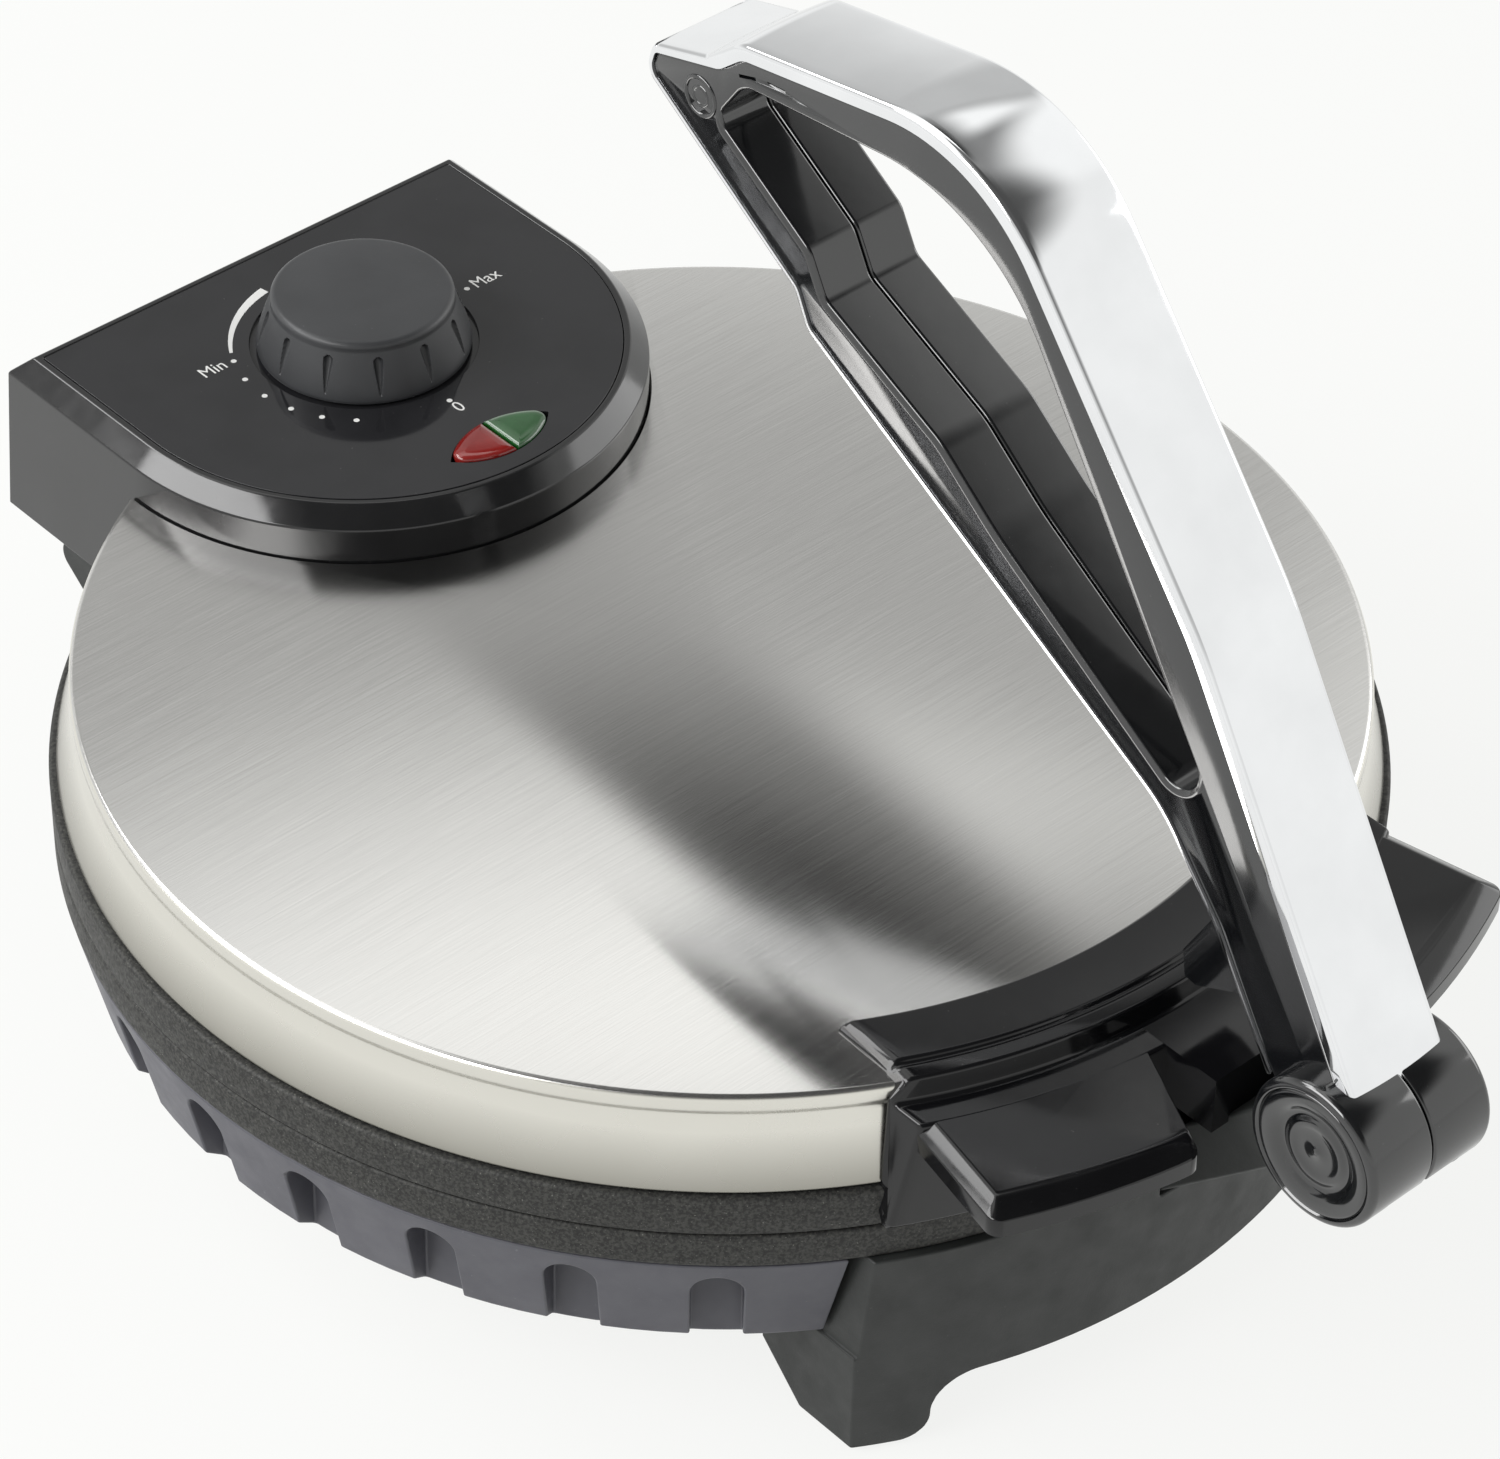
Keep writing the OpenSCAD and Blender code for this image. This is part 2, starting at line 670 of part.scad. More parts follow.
module console_outside() {
    w = console_half_w;
    c = console_chamfer;
    intersection() {
        translate([0, console_arc_y, 0]) {
            translate([0, 0, console_low_z]) cylinder(r = w, h = face_z - c - console_low_z, $fn = 180);
            translate([0, 0, face_z - c]) cylinder(r1 = w, r2 = w - c, h = c, $fn = 180);
        }
        box([-far, 0, 0], [far, console_arc_y, far]);
    }
    intersection() {
        prism_y([[-w, console_low_z], [w, console_low_z], [w, face_z - c], [w - c, face_z],
            [c - w, face_z], [-w, face_z - c]], console_arc_y, console_low_back_y + 5);
        prism_x([[console_arc_y - 1, console_low_z - 0.1], [console_low_back_y, console_low_z],
            [console_back_y, face_z - c], [console_back_y - c, face_z],
            [console_arc_y - 1, face_z + 1]], -w - 1, w + 1);
    }
}

module console_housing() color("#141517") at_lid_axis() {
    w = console_half_w;
    roof = face_z - panel_h - console_wall;
    difference() {
        union() {
            difference() {
                console_outside();
                console_block(w - console_wall, console_back_y - console_wall, 0, roof);
                cylinder(r = plate_clear_r, h = lid_top_z - 20.8, $fn = 180);
                cylinder(r = lid_top_r - 4, h = lid_top_z - 4, $fn = 180);
            }
            intersection() {
                console_block(flange_half_w, far, lid_top_z - 3.6, lid_top_z - 1.4);
                cylinder(r = lid_top_r - 4, h = far, $fn = 180);
            }
        }
        console_block(w - console_wall, console_back_y - console_wall, lid_top_z - 5, roof);
        console_block(w - console_chamfer - panel_inset, console_back_y - console_chamfer - panel_inset,
            face_z - panel_h, face_z + 1);
        translate([0, knob_y, 0]) cylinder(r = 7, h = far);
        linear_extrude(height = far) lens_plan(0.2);
    }
}

module console_panel() color("#1b1c1e") at_lid_axis() {
    inset = console_chamfer + panel_inset + 0.15;
    difference() {
        console_block(console_half_w - inset, console_back_y - inset, face_z - panel_h, face_z);
        translate([0, knob_y, face_z - 0.8]) cylinder(r = knob_r + 1.4, h = 2);
        translate([0, knob_y, 0]) cylinder(r = 5, h = far);
        linear_extrude(height = far) lens_plan(0.15);
    }
}

module lens(side) {
    depth = panel_h + console_wall;
    intersection() {
        translate([0, 0, face_z - depth]) linear_extrude(height = depth + 0.6)
            lens_plan(0);
        box([side > 0 ? 0.2 : -far, 0, 0], [side > 0 ? far : -0.2, far, far]);
    }
}

module red_lens() color("#b3261e") at_lid_axis() {
    lens(-1);
}

module green_lens() color("#1f7a3a") at_lid_axis() {
    lens(1);
}

module pilot_lamps() color("#e8d9b0") at_lid_axis() {
    for (side = [-1, 1]) translate([side * 6, lens_y, lid_top_z - 2]) {
        cylinder(r = 2.2, h = face_z - panel_h - console_wall - lid_top_z + 1, $fn = 32);
    }
}

module thermostat() color("#c9b68f") at_lid_axis() {
    roof = face_z - panel_h - console_wall;
    half_x = 16;
    half_y = 15;
    translate([0, knob_y, 0]) difference() {
        union() {
            box([-half_x, -half_y, lid_top_z - 12], [half_x, half_y, roof - 4]);
            translate([0, 0, roof - 4]) cylinder(r = 5.5, h = 6, $fn = 64);
            box([-10, -3, lid_top_z - 14], [10, 3, lid_top_z - 11]);
        }
        translate([0, 0, lid_top_z - 8]) cylinder(r = spindle_r + fit, h = far, $fn = 64);
    }
}

// The hinge bracket closes the console from below and carries the two lugs
module lid_hinge_bracket() color("#8f9296") at_lid_axis() {
    neck = 3;
    front = 116;
    back = console_back_y - console_wall - 0.3;
    difference() {
        union() {
            difference() {
                box([0.3 + console_wall - console_half_w, front, console_low_z + 0.2],
                    [console_half_w - console_wall - 0.3, back, console_low_z + 3]);
                cylinder(r = plate_clear_r, h = far, $fn = 180);
            }
            both_sides() translate([0, hinge_y, hinge_z]) {
                rod_x(knuckle_r, lug_in_x, lug_out_x);
                box([lug_in_x, -neck, 0], [lug_out_x, neck, console_low_z - hinge_z + 1]);
                box([lug_in_x, -neck, console_low_z - hinge_z], [lug_in_x + 3, 12, 25]);
            }
        }
        both_sides() translate([0, hinge_y, hinge_z]) rod_x(hinge_pin_r + fit, 0, 60);
    }
}

module lid_screws() color("silver") at_lid_axis() {
    plate_top = console_low_z + 3;
    for (x = [-50, -18, 18, 50]) translate([x, 148, plate_top]) {
        cylinder(r = 1.6, h = 8, $fn = 24);
        cylinder(r = 3, h = 1.8, $fn = 24);
    }
}

module knob() color("#3c3e41") at_lid_axis() {
    foot = face_z - 0.3;
    top = face_z + knob_h;
    top_r = knob_r - 4;
    wall = 2.2;
    flute_low_r = 0.3;
    flute_high_r = 1.1;
    flute_h = 7.2;
    flute_lean = -15;
    translate([0, knob_y, 0]) difference() {
        union() {
            rotate_extrude() polygon([[knob_r - wall, foot], [knob_r - 0.4, foot], [knob_r, foot + 0.5],
                [knob_r - 0.5, foot + 3], [top_r + 1, top - 1.6], [top_r, top - 0.3],
                [top_r - 0.8, top], [0, top], [0, top - wall], [top_r - wall, top - wall]]);
            translate([0, 0, foot + 1]) cylinder(r = 6, h = top - foot - 2, $fn = 64);
        }
        for (i = [0:flute_count - 1]) rotate([0, 0, 360 / flute_count * (i + 0.5)])
            translate([knob_r - 0.2, 0, foot + 1.8]) rotate([0, flute_lean, 0]) {
                cylinder(r1 = flute_low_r, r2 = flute_high_r, h = flute_h, $fn = 24);
                translate([0, 0, flute_h]) sphere(r = flute_high_r + 0.1, $fn = 24);
            }
        cylinder(r = spindle_r, h = top - wall, $fn = 64);
        box([spindle_r - 1, -1.6, 0], [spindle_r + 1.2, 1.6, top - wall]);
    }
}

module thermostat_spindle() color("silver") at_lid_axis() {
    translate([0, knob_y, lid_top_z - 7.5])
        cylinder(r = spindle_r, h = face_z + knob_h - 2.2 - lid_top_z + 7.5, $fn = 64);
}

module knob_clip() color("silver") at_lid_axis() {
    translate([0, knob_y, 0])
        box([spindle_r + 0.1, -1.5, face_z + 2], [spindle_r + 1.1, 1.5, face_z + 9]);
}

module lever_pin() color("silver") at_barrel() {
    rod_x(pin_r, -barrel_half_w + cap_depth + 0.1, barrel_half_w - cap_depth - 0.1);
}

module slot_cut(x) {
    prism_x(rounded(slot_corners), -x, x);
}

// The chrome shell's profile follows the frame from the lower limb round the tip
// and back down the crown, and ends inside the barrel
function shell_points() =
    let (root = xy(frame_corners[shell_last + 1]), up = unit(xy(frame_corners[shell_last]) - root))
    let (end = root - shell_sunk * up, end_out = end + shell_crown * [-up[1], up[0]])
    concat(rounded_part(grown(frame_corners, shell_depths), shell_first, shell_last), [end_out, end],
        reversed(rounded_part(frame_corners, shell_first, shell_last)));

module shell_prism(x) {
    prism_x(shell_points(), -x, x);
}

function arc(r, a0, a1, steps) = [for (i = [0:steps]) let (a = a0 + (a1 - a0) * i / steps)
    r * [cos(a), sin(a)]];

// The space that the arm and its eye take up while the lever turns round them
module arm_space() {
    start = arm_angle + press_angle;
    stop = arm_angle - out_angle;
    low = arm_down + 0.6;
    prism_x(concat(
        arc(cradle_r, start + asin(cavity_r / cradle_r), stop - asin(low / cradle_r), 24),
        arc(cavity_r, stop - asin(low / cavity_r), start + 90 - 360, 20)),
        -cavity_half_w, cavity_half_w);
}

// The notch in the barrel that holds the end of the chrome shell
module shell_notch() {
    root = xy(frame_corners[shell_last + 1]);
    up = unit(xy(frame_corners[shell_last]) - root);
    out = [-up[1], up[0]];
    low = root - (shell_sunk + 0.2) * up;
    prism_x([low - 0.5 * out, low + (shell_crown + 0.2) * out,
        low + (shell_crown + 0.2) * out + 12 * up, low - 0.5 * out + 12 * up],
        -lever_half_w - 0.1, lever_half_w + 0.1);
}

// One half of the black frame, on the left of the split, with its half of the barrel
module lever_half() {
    split = 0.1;
    difference() {
        union() {
            prism_x(rounded(frame_corners), -frame_half_w, frame_half_w);
            difference() {
                rod_x(barrel_r, -barrel_half_w, barrel_half_w);
                shell_notch();
            }
        }
        slot_cut(far);
        arm_space();
        rod_x(pin_r + fit, -far, far);
        rod_x(cap_r + 0.1, -far, cap_depth - barrel_half_w);
        translate([0, screw_at[0], screw_at[1]]) rod_x(2, -far, far);
        box([-split, -far, -far], [far, far, far]);
    }
}

module lever_frame_left() color("#0f1012") at_barrel() {
    lever_half();
}

module lever_frame_right() color("#0f1012") at_barrel() {
    mirror([1, 0, 0]) lever_half();
}

module lever_shell() color("#d8dadc") at_barrel() {
    shell_prism(lever_half_w);
}

module lever_screw() color("#2b2c2e") at_barrel() {
    translate([0, screw_at[0], screw_at[1]]) {
        rod_x(2, -frame_half_w - 0.2, frame_half_w + 0.2);
        both_sides() difference() {
            rod_x(4.3, -frame_half_w - 0.3, -frame_half_w);
            rod_x(3.3, -far, 0);
        }
    }
}

// The cap's profile turns round the barrel's axis, with a groove and a dished middle
module barrel_cap() {
    h = cap_depth - fit;
    rotate([0, -90, 0]) translate([0, 0, barrel_half_w - h])
        rotate_extrude() polygon([[0, 0], [cap_r, 0], [cap_r, h - 0.7], [cap_r - 0.7, h],
            [11.2, h], [9.6, h - 0.5], [8.4, h - 1.4], [7.3, h - 1.4], [6.4, h - 0.95],
            [5.4, h - 0.95], [4.5, h - 1.25], [0, h - 1.35]]);
}

module barrel_cap_left() color("#1c1d1f") at_barrel() {
    barrel_cap();
}

module barrel_cap_right() color("#1c1d1f") at_barrel() {
    mirror([1, 0, 0]) barrel_cap();
}

// The cam's outline as it stands while the lever is pressed down on the lid
module press_cam() color("#26272a") at_barrel() {
    difference() {
        rotate([press_angle, 0, 0])
            prism_x([[30, 3], [38, -8.4], [40.7, -9.4], [44.3, -4.6], [44.3, 20], [30, 14]], -8, 8);
        prism_x(rounded(frame_corners), -far, far);
        prism_x(rounded(grown(frame_corners, shell_depths)), -far, far);
    }
}

base_housing();
front_housing();
rear_housing();
lower_plate();
lower_heating_element();
lower_heat_shield();
bottom_cover();
clamp_ring();
lever_arm();
pivot_bush();
rear_feet();
rubber_feet();
cord_gland();
hinge_pins();
base_screws();
terminal_block();
thermal_fuse();
lid_cover();
upper_plate();
upper_heating_element();
upper_heat_shield();
lid_bracket();
console_housing();
console_panel();
lid_hinge_bracket();
red_lens();
green_lens();
pilot_lamps();
thermostat();
lid_screws();
knob();
thermostat_spindle();
knob_clip();
lever_pin();
lever_frame_left();
lever_frame_right();
lever_shell();
lever_screw();
barrel_cap_left();
barrel_cap_right();
press_cam();
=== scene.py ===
import json
import math

import bmesh
import bpy
from mathutils import Matrix, Vector


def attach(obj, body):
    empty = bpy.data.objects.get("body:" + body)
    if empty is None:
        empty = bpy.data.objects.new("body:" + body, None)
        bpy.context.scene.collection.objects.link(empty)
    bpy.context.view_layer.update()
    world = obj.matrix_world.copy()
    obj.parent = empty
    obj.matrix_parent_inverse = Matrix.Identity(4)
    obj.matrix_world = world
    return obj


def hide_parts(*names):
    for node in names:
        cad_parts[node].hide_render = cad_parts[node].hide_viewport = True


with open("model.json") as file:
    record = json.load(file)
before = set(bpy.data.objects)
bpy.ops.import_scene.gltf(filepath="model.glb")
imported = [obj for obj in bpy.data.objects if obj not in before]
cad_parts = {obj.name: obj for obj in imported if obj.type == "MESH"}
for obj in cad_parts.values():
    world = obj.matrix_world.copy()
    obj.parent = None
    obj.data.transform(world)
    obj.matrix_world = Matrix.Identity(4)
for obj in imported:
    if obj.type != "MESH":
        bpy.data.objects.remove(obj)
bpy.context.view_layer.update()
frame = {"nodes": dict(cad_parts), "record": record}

# Sizes are in millimetres from the table, laid out from the lid's own axis.
MM = 0.001
AXIS_Y = 15.45
LID_TOP = 90.0
LID_R = 129.4
LID_SHEET = 1.2
LID_NECK_Z = 84.3
LID_WALL_FOOT = 69.9
HEM_R = 133.0
PLATE_R = 134.6
PLATE_WALL_R = 124
COOKING_R = 122
LOWER_PLATE = (51.5, 59.5)
UPPER_PLATE = (59.8, 68.8)
PLATE_WEB = 4.6
CONSOLE_ARC_Y = 113.0
FACE_Z = 102.0
NOTCH_HALF = 60.5
KNOB_Y = 112.5
KNOB_R = 22.6
KNOB_H = 12.85
FLUTES = 12
FLUTE_LOW = 1.8
FLUTE_HIGH = 9.6
DOME = 0.45
LENS_Y = 68.5
LENS_W = 25.7
LENS_H = 11.2
LENS_TIP = 2.6
LENS_GAP = 0.28
BARREL_Y = -175.6
BARREL_Z = 89.0
BARREL_R = 15.3
BARREL_HALF = 15.8
CAP_R = 13.4
CAP_DEPTH = 2.6
SHELL_HALF = 12.0
FRAME_HALF = 11.6
CAVITY_R = 9.4
CAVITY_HALF = 9.4
PIN_R = 4.05
PARTING = 0.12
ARM_ANGLE = -45
PRESS_TURN = 28
OPEN_TURN = 96
ARM_SPACE_R = 24
ARM_UNDER = 3.6
THROUGH = 20
SCREW = (171.8, 137.6)
SLITS = [((161.6, 147.2), (157.2, 148.6)), ((154.2, 149.3), (149.4, 149.8))]

FRAME_CORNERS = [
    (6, -6, 0), (14.6, 7.1, 0), (30.5, 32.5, 12), (46, 50.5, 30), (141, 103.1, 4), (144.5, 110.2, 4),
    (185.2, 137, 3), (183.9, 141.3, 1.6), (166.5, 146.2, 6), (160.5, 151.2, 6),
    (101, 161.4, 38), (43, 88.9, 80), (-1.5, 14, 0), (-6, 4, 0),
]
SHELL_DEPTHS = [1.2, 1.2, 1.2, 1.2, 1.2, 1.2, 1.2, 2, 3.4, 3.4, 3.4, 3.4, 0, 0]
SHELL_FIRST = 1
SHELL_LAST = 11
SHELL_SUNK = 3.4
SLOT_CORNERS = [
    (26.8, 44.9, 5), (91, 84.7, 60), (106.5, 96.7, 20), (137.5, 111, 4),
    (142, 119.4, 5), (167.5, 135.4, 3), (160.5, 145.3, 6), (98.5, 151.9, 44),
]


# Outlines

def corner_arc(a, b, c, radius, step=3.0):
    """Points of the arc that rounds the corner b between a and c."""
    a, b, c = Vector(a), Vector(b), Vector(c)
    u, v = (a - b).normalized(), (c - b).normalized()
    half = u.angle(v) / 2
    middle = b + (u + v).normalized() * (radius / math.sin(half))
    p = b + u * (radius / math.tan(half)) - middle
    q = b + v * (radius / math.tan(half)) - middle
    start = math.atan2(p.y, p.x)
    turn = (math.atan2(q.y, q.x) - start + 3 * math.pi) % (2 * math.pi) - math.pi
    count = max(3, math.ceil(abs(math.degrees(turn)) / step))
    return [
        (middle.x + radius * math.cos(start + turn * i / count),
         middle.y + radius * math.sin(start + turn * i / count))
        for i in range(count + 1)
    ]


def rounded(corners, first=0, last=None):
    """The outline of corners given as y, z and rounding radius."""
    last = len(corners) - 1 if last is None else last
    points = []
    for i in range(first, last + 1):
        here = corners[i]
        if here[2] > 0:
            before = corners[i - 1][:2]
            after = corners[(i + 1) % len(corners)][:2]
            points += corner_arc(before, here[:2], after, here[2])
        else:
            points.append(here[:2])
    return points


def grown(corners, depths):
    """The corners after each edge has moved outward by its own depth."""
    count = len(corners)
    normals = []
    for i in range(count):
        edge = (Vector(corners[(i + 1) % count][:2]) - Vector(corners[i][:2])).normalized()
        normals.append(Vector((edge.y, -edge.x)))
    moved = []
    for i in range(count):
        n0, n1 = normals[i - 1], normals[i]
        d0, d1 = depths[i - 1], depths[i]
        k = n0.x * n1.y - n0.y * n1.x
        y = corners[i][0] + (d0 * n1.y - d1 * n0.y) / k
        z = corners[i][1] + (d1 * n0.x - d0 * n1.x) / k
        radius = corners[i][2]
        if radius > 0:
            radius = max(0.8, radius + math.copysign(1, k) * (d0 + d1) / 2)
        moved.append((y, z, radius))
    return moved


def arc_points(radius, start, stop, count, centre=(0, 0)):
    """Points on a circle round centre, between two angles in degrees."""
    angles = [math.radians(start + (stop - start) * i / count) for i in range(count + 1)]
    return [(centre[0] + radius * math.cos(a), centre[1] + radius * math.sin(a)) for a in angles]


# Meshes

def piece(name, points, faces):
    """A new object from points in millimetres."""
    mesh = bpy.data.meshes.new(name)
    mesh.from_pydata([Vector(p) * MM for p in points], [], faces)
    mesh.update()
    obj = bpy.data.objects.new(name, mesh)
    bpy.context.scene.collection.objects.link(obj)
    return obj


def tidy_normals(obj):
    """Turns every face outward."""
    bm = bmesh.new()
    bm.from_mesh(obj.data)
    bmesh.ops.recalc_face_normals(bm, faces=bm.faces)
    bm.to_mesh(obj.data)
    bm.free()
    return obj


def settle(obj):
    """Applies the object's modifiers."""
    graph = bpy.context.evaluated_depsgraph_get()
    mesh = bpy.data.meshes.new_from_object(obj.evaluated_get(graph))
    obj.modifiers.clear()
    obj.data = mesh
    return obj


def smooth(obj, angle=32):
    """Shades obj smooth, except over edges sharper than angle."""
    obj.data.shade_smooth()
    obj.data.set_sharp_from_angle(angle=math.radians(angle))
    return obj


def soften(obj, width, limit=30):
    """Rounds every edge sharper than limit, and keeps flat faces flat."""
    bevel = obj.modifiers.new("edges", "BEVEL")
    bevel.width = width * MM
    bevel.segments = 3
    bevel.limit_method = "ANGLE"
    bevel.angle_limit = math.radians(limit)
    bevel.use_clamp_overlap = False
    bevel.miter_outer = "MITER_ARC"
    settle(obj)
    smooth(obj, 40)
    weighted = obj.modifiers.new("normals", "WEIGHTED_NORMAL")
    weighted.keep_sharp = True
    weighted.weight = 60
    return obj


def cut(obj, *cutters, operation="DIFFERENCE"):
    """Cuts obj with the cutters, which are then removed."""
    for cutter in cutters:
        boolean = obj.modifiers.new("cut", "BOOLEAN")
        boolean.operation = operation
        boolean.solver = "EXACT"
        boolean.object = cutter
        settle(obj)
        bpy.data.objects.remove(cutter)
    return obj


def flatten(obj, angle):
    """Joins the triangles of each face that is flat to within angle, in degrees."""
    bm = bmesh.new()
    bm.from_mesh(obj.data)
    bmesh.ops.remove_doubles(bm, verts=bm.verts, dist=2e-6)
    bmesh.ops.dissolve_limit(
        bm, angle_limit=math.radians(angle), verts=bm.verts, edges=bm.edges,
        use_dissolve_boundaries=False)
    bm.to_mesh(obj.data)
    bm.free()
    return obj


def prism(name, points):
    """A closed prism: the first half of the points is one end, and the rest is the other."""
    count = len(points) // 2
    faces = [tuple(range(count)), tuple(range(2 * count - 1, count - 1, -1))]
    faces += [(i, (i + 1) % count, count + (i + 1) % count, count + i) for i in range(count)]
    return tidy_normals(piece(name, points, faces))


def prism_x(name, outline, x0, x1, origin=(0, 0)):
    """Extrudes a y-z outline between two x positions."""
    return prism(name, [(x, y + origin[0], z + origin[1]) for x in (x0, x1) for y, z in outline])


def prism_z(name, outline, z0, z1):
    """Extrudes an x-y outline between two heights."""
    return prism(name, [(x, y, z) for z in (z0, z1) for x, y in outline])


def loft(name, rings):
    """Joins rings of the same number of points, and closes both ends."""
    count = len(rings[0])
    points = [p for ring in rings for p in ring]
    faces = []
    for k in range(len(rings) - 1):
        low, high = k * count, (k + 1) * count
        faces += [(low + i, low + (i + 1) % count, high + (i + 1) % count, high + i)
                  for i in range(count)]
    faces.append(tuple(range(count)))
    faces.append(tuple(range(len(points) - count, len(points))))
    return tidy_normals(piece(name, points, faces))


def turned(name, profile, centre, steps=240, along="Z", shape=None):
    """Turns a closed profile of radius and height round an axis through centre."""
    points, columns = [], []
    for k in range(steps):
        angle = 2 * math.pi * k / steps
        column = []
        for j, (radius, height) in enumerate(profile):
            if radius == 0 and k > 0:
                column.append(columns[0][j])
                continue
            r = shape(angle, radius, height) if shape else radius
            u, v = r * math.cos(angle), r * math.sin(angle)
            local = (u, v, height) if along == "Z" else (height, u, v)
            column.append(len(points))
            points.append(tuple(c + o for c, o in zip(local, centre)))
        columns.append(column)
    faces = []
    for k in range(steps):
        a, b = columns[k], columns[(k + 1) % steps]
        for j in range(len(profile)):
            n = (j + 1) % len(profile)
            corners = []
            for index in (a[j], b[j], b[n], a[n]):
                if index not in corners:
                    corners.append(index)
            if len(corners) > 2:
                faces.append(tuple(corners))
    return tidy_normals(piece(name, points, faces))


def console_plan(half, back, steps=96):
    """The console's D shape at half width half, back to the given y."""
    front = arc_points(half, 0, -180, steps, (0, CONSOLE_ARC_Y + AXIS_Y))
    return [(half, back + AXIS_Y)] + front + [(-half, back + AXIS_Y)]


def rounded_copy(name, node, width):
    """A piece with the node's own form and softened edges, kept above the table."""
    mesh = frame["nodes"][node].data.copy()
    mesh.name = name
    obj = bpy.data.objects.new(name, mesh)
    bpy.context.scene.collection.objects.link(obj)
    flatten(obj, 0.4)
    soften(obj, width)
    for vertex in obj.data.vertices:
        vertex.co.z = max(vertex.co.z, 0.0)
    return obj


def join(name, parts):
    """One new object with the meshes of all parts, which are then removed."""
    bm = bmesh.new()
    for part in parts:
        bm.from_mesh(part.data)
        bpy.data.objects.remove(part)
    mesh = bpy.data.meshes.new(name)
    bm.to_mesh(mesh)
    bm.free()
    obj = bpy.data.objects.new(name, mesh)
    bpy.context.scene.collection.objects.link(obj)
    return obj


def finish(obj, material, body, slot_name, *nodes):
    """Dresses a piece and fixes it to its body."""
    obj.data.materials.clear()
    obj.data.materials.append(material)
    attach(obj, body)
    if nodes:
        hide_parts(*nodes)
    return obj


# Materials

def linear(rgb):
    """A colour from 0-255 screen values to the shader's own scale."""
    scaled = [c / 255 for c in rgb]
    return [c / 12.92 if c <= 0.04045 else ((c + 0.055) / 1.055) ** 2.4 for c in scaled]


def feed(tree, value, socket):
    """Sets a socket to a number, or links it to another socket."""
    if isinstance(value, (int, float)):
        socket.default_value = value
    else:
        tree.links.new(value, socket)


def combine(tree, operation, first, second):
    node = tree.nodes.new("ShaderNodeMath")
    node.operation = operation
    feed(tree, first, node.inputs[0])
    feed(tree, second, node.inputs[1])
    return node.outputs[0]


def blend(tree, share, first, second):
    """Goes from first to second as share rises from 0 to 1."""
    mix = tree.nodes.new("ShaderNodeMix")
    mix.data_type = "FLOAT"
    for place, value in ((0, share), (2, first), (3, second)):
        feed(tree, value, mix.inputs[place])
    return mix.outputs[0]


def ramp_between(tree, value, start, stop, low=0.0, high=1.0, kind="SMOOTHSTEP"):
    """Goes from low to high as value goes from start to stop."""
    ramp = tree.nodes.new("ShaderNodeMapRange")
    ramp.interpolation_type = kind
    limits = (("From Min", start), ("From Max", stop), ("To Min", low), ("To Max", high))
    for key, number in limits:
        ramp.inputs[key].default_value = number
    tree.links.new(value, ramp.inputs["Value"])
    return ramp.outputs[0]


class Look:
    """One material and the links between its nodes."""

    def __init__(self, name, rgb, roughness, metallic=0.0):
        self.material = bpy.data.materials.new(name)
        self.material.use_nodes = True
        self.tree = self.material.node_tree
        self.links = self.tree.links
        self.shader = self.tree.nodes["Principled BSDF"]
        self.shader.inputs["Base Color"].default_value = (*linear(rgb), 1)
        self.shader.inputs["Roughness"].default_value = roughness
        self.shader.inputs["Metallic"].default_value = metallic
        self.height = None

    def add(self, kind, **settings):
        node = self.tree.nodes.new(kind)
        for key, value in settings.items():
            setattr(node, key, value)
        return node

    def math(self, operation, first, second):
        return combine(self.tree, operation, first, second)

    def position(self):
        return self.add("ShaderNodeTexCoord").outputs["Object"]

    def noise(self, scale, detail=4.0, roughness=0.55, stretch=(1, 1, 1)):
        """Noise with scale features to the metre."""
        mapping = self.add("ShaderNodeMapping")
        mapping.inputs["Scale"].default_value = stretch
        self.links.new(self.position(), mapping.inputs["Vector"])
        noise = self.add("ShaderNodeTexNoise")
        noise.inputs["Scale"].default_value = scale
        noise.inputs["Detail"].default_value = detail
        noise.inputs["Roughness"].default_value = roughness
        self.links.new(mapping.outputs[0], noise.inputs["Vector"])
        return noise.outputs["Fac"]

    def band(self, value, low, high, to_low=0.0, to_high=1.0):
        """Maps low..high of value to to_low..to_high."""
        return ramp_between(self.tree, value, low, high, to_low, to_high, "LINEAR")

    def colour(self, factor, first, second):
        """Blends two screen colours by factor into the base colour."""
        node = self.add("ShaderNodeMix", data_type="RGBA")
        self.links.new(factor, node.inputs["Factor"])
        source = self.shader.inputs["Base Color"]
        if first is None:
            self.links.new(source.links[0].from_socket, node.inputs[6])
        else:
            node.inputs[6].default_value = (*linear(first), 1)
        node.inputs[7].default_value = (*linear(second), 1)
        self.links.new(node.outputs[2], source)
        return self

    def shine(self, value, low, high):
        """Roughness between low and high, following value."""
        self.links.new(self.band(value, 0.3, 0.7, low, high), self.shader.inputs["Roughness"])
        return self

    def bump(self, value, distance, strength=1.0):
        """Adds relief of the given distance in millimetres."""
        node = self.add("ShaderNodeBump")
        node.inputs["Distance"].default_value = distance * MM
        node.inputs["Strength"].default_value = strength
        self.links.new(value, node.inputs["Height"])
        if self.height:
            self.links.new(self.height, node.inputs["Normal"])
        self.height = node.outputs["Normal"]
        self.links.new(self.height, self.shader.inputs["Normal"])
        return self


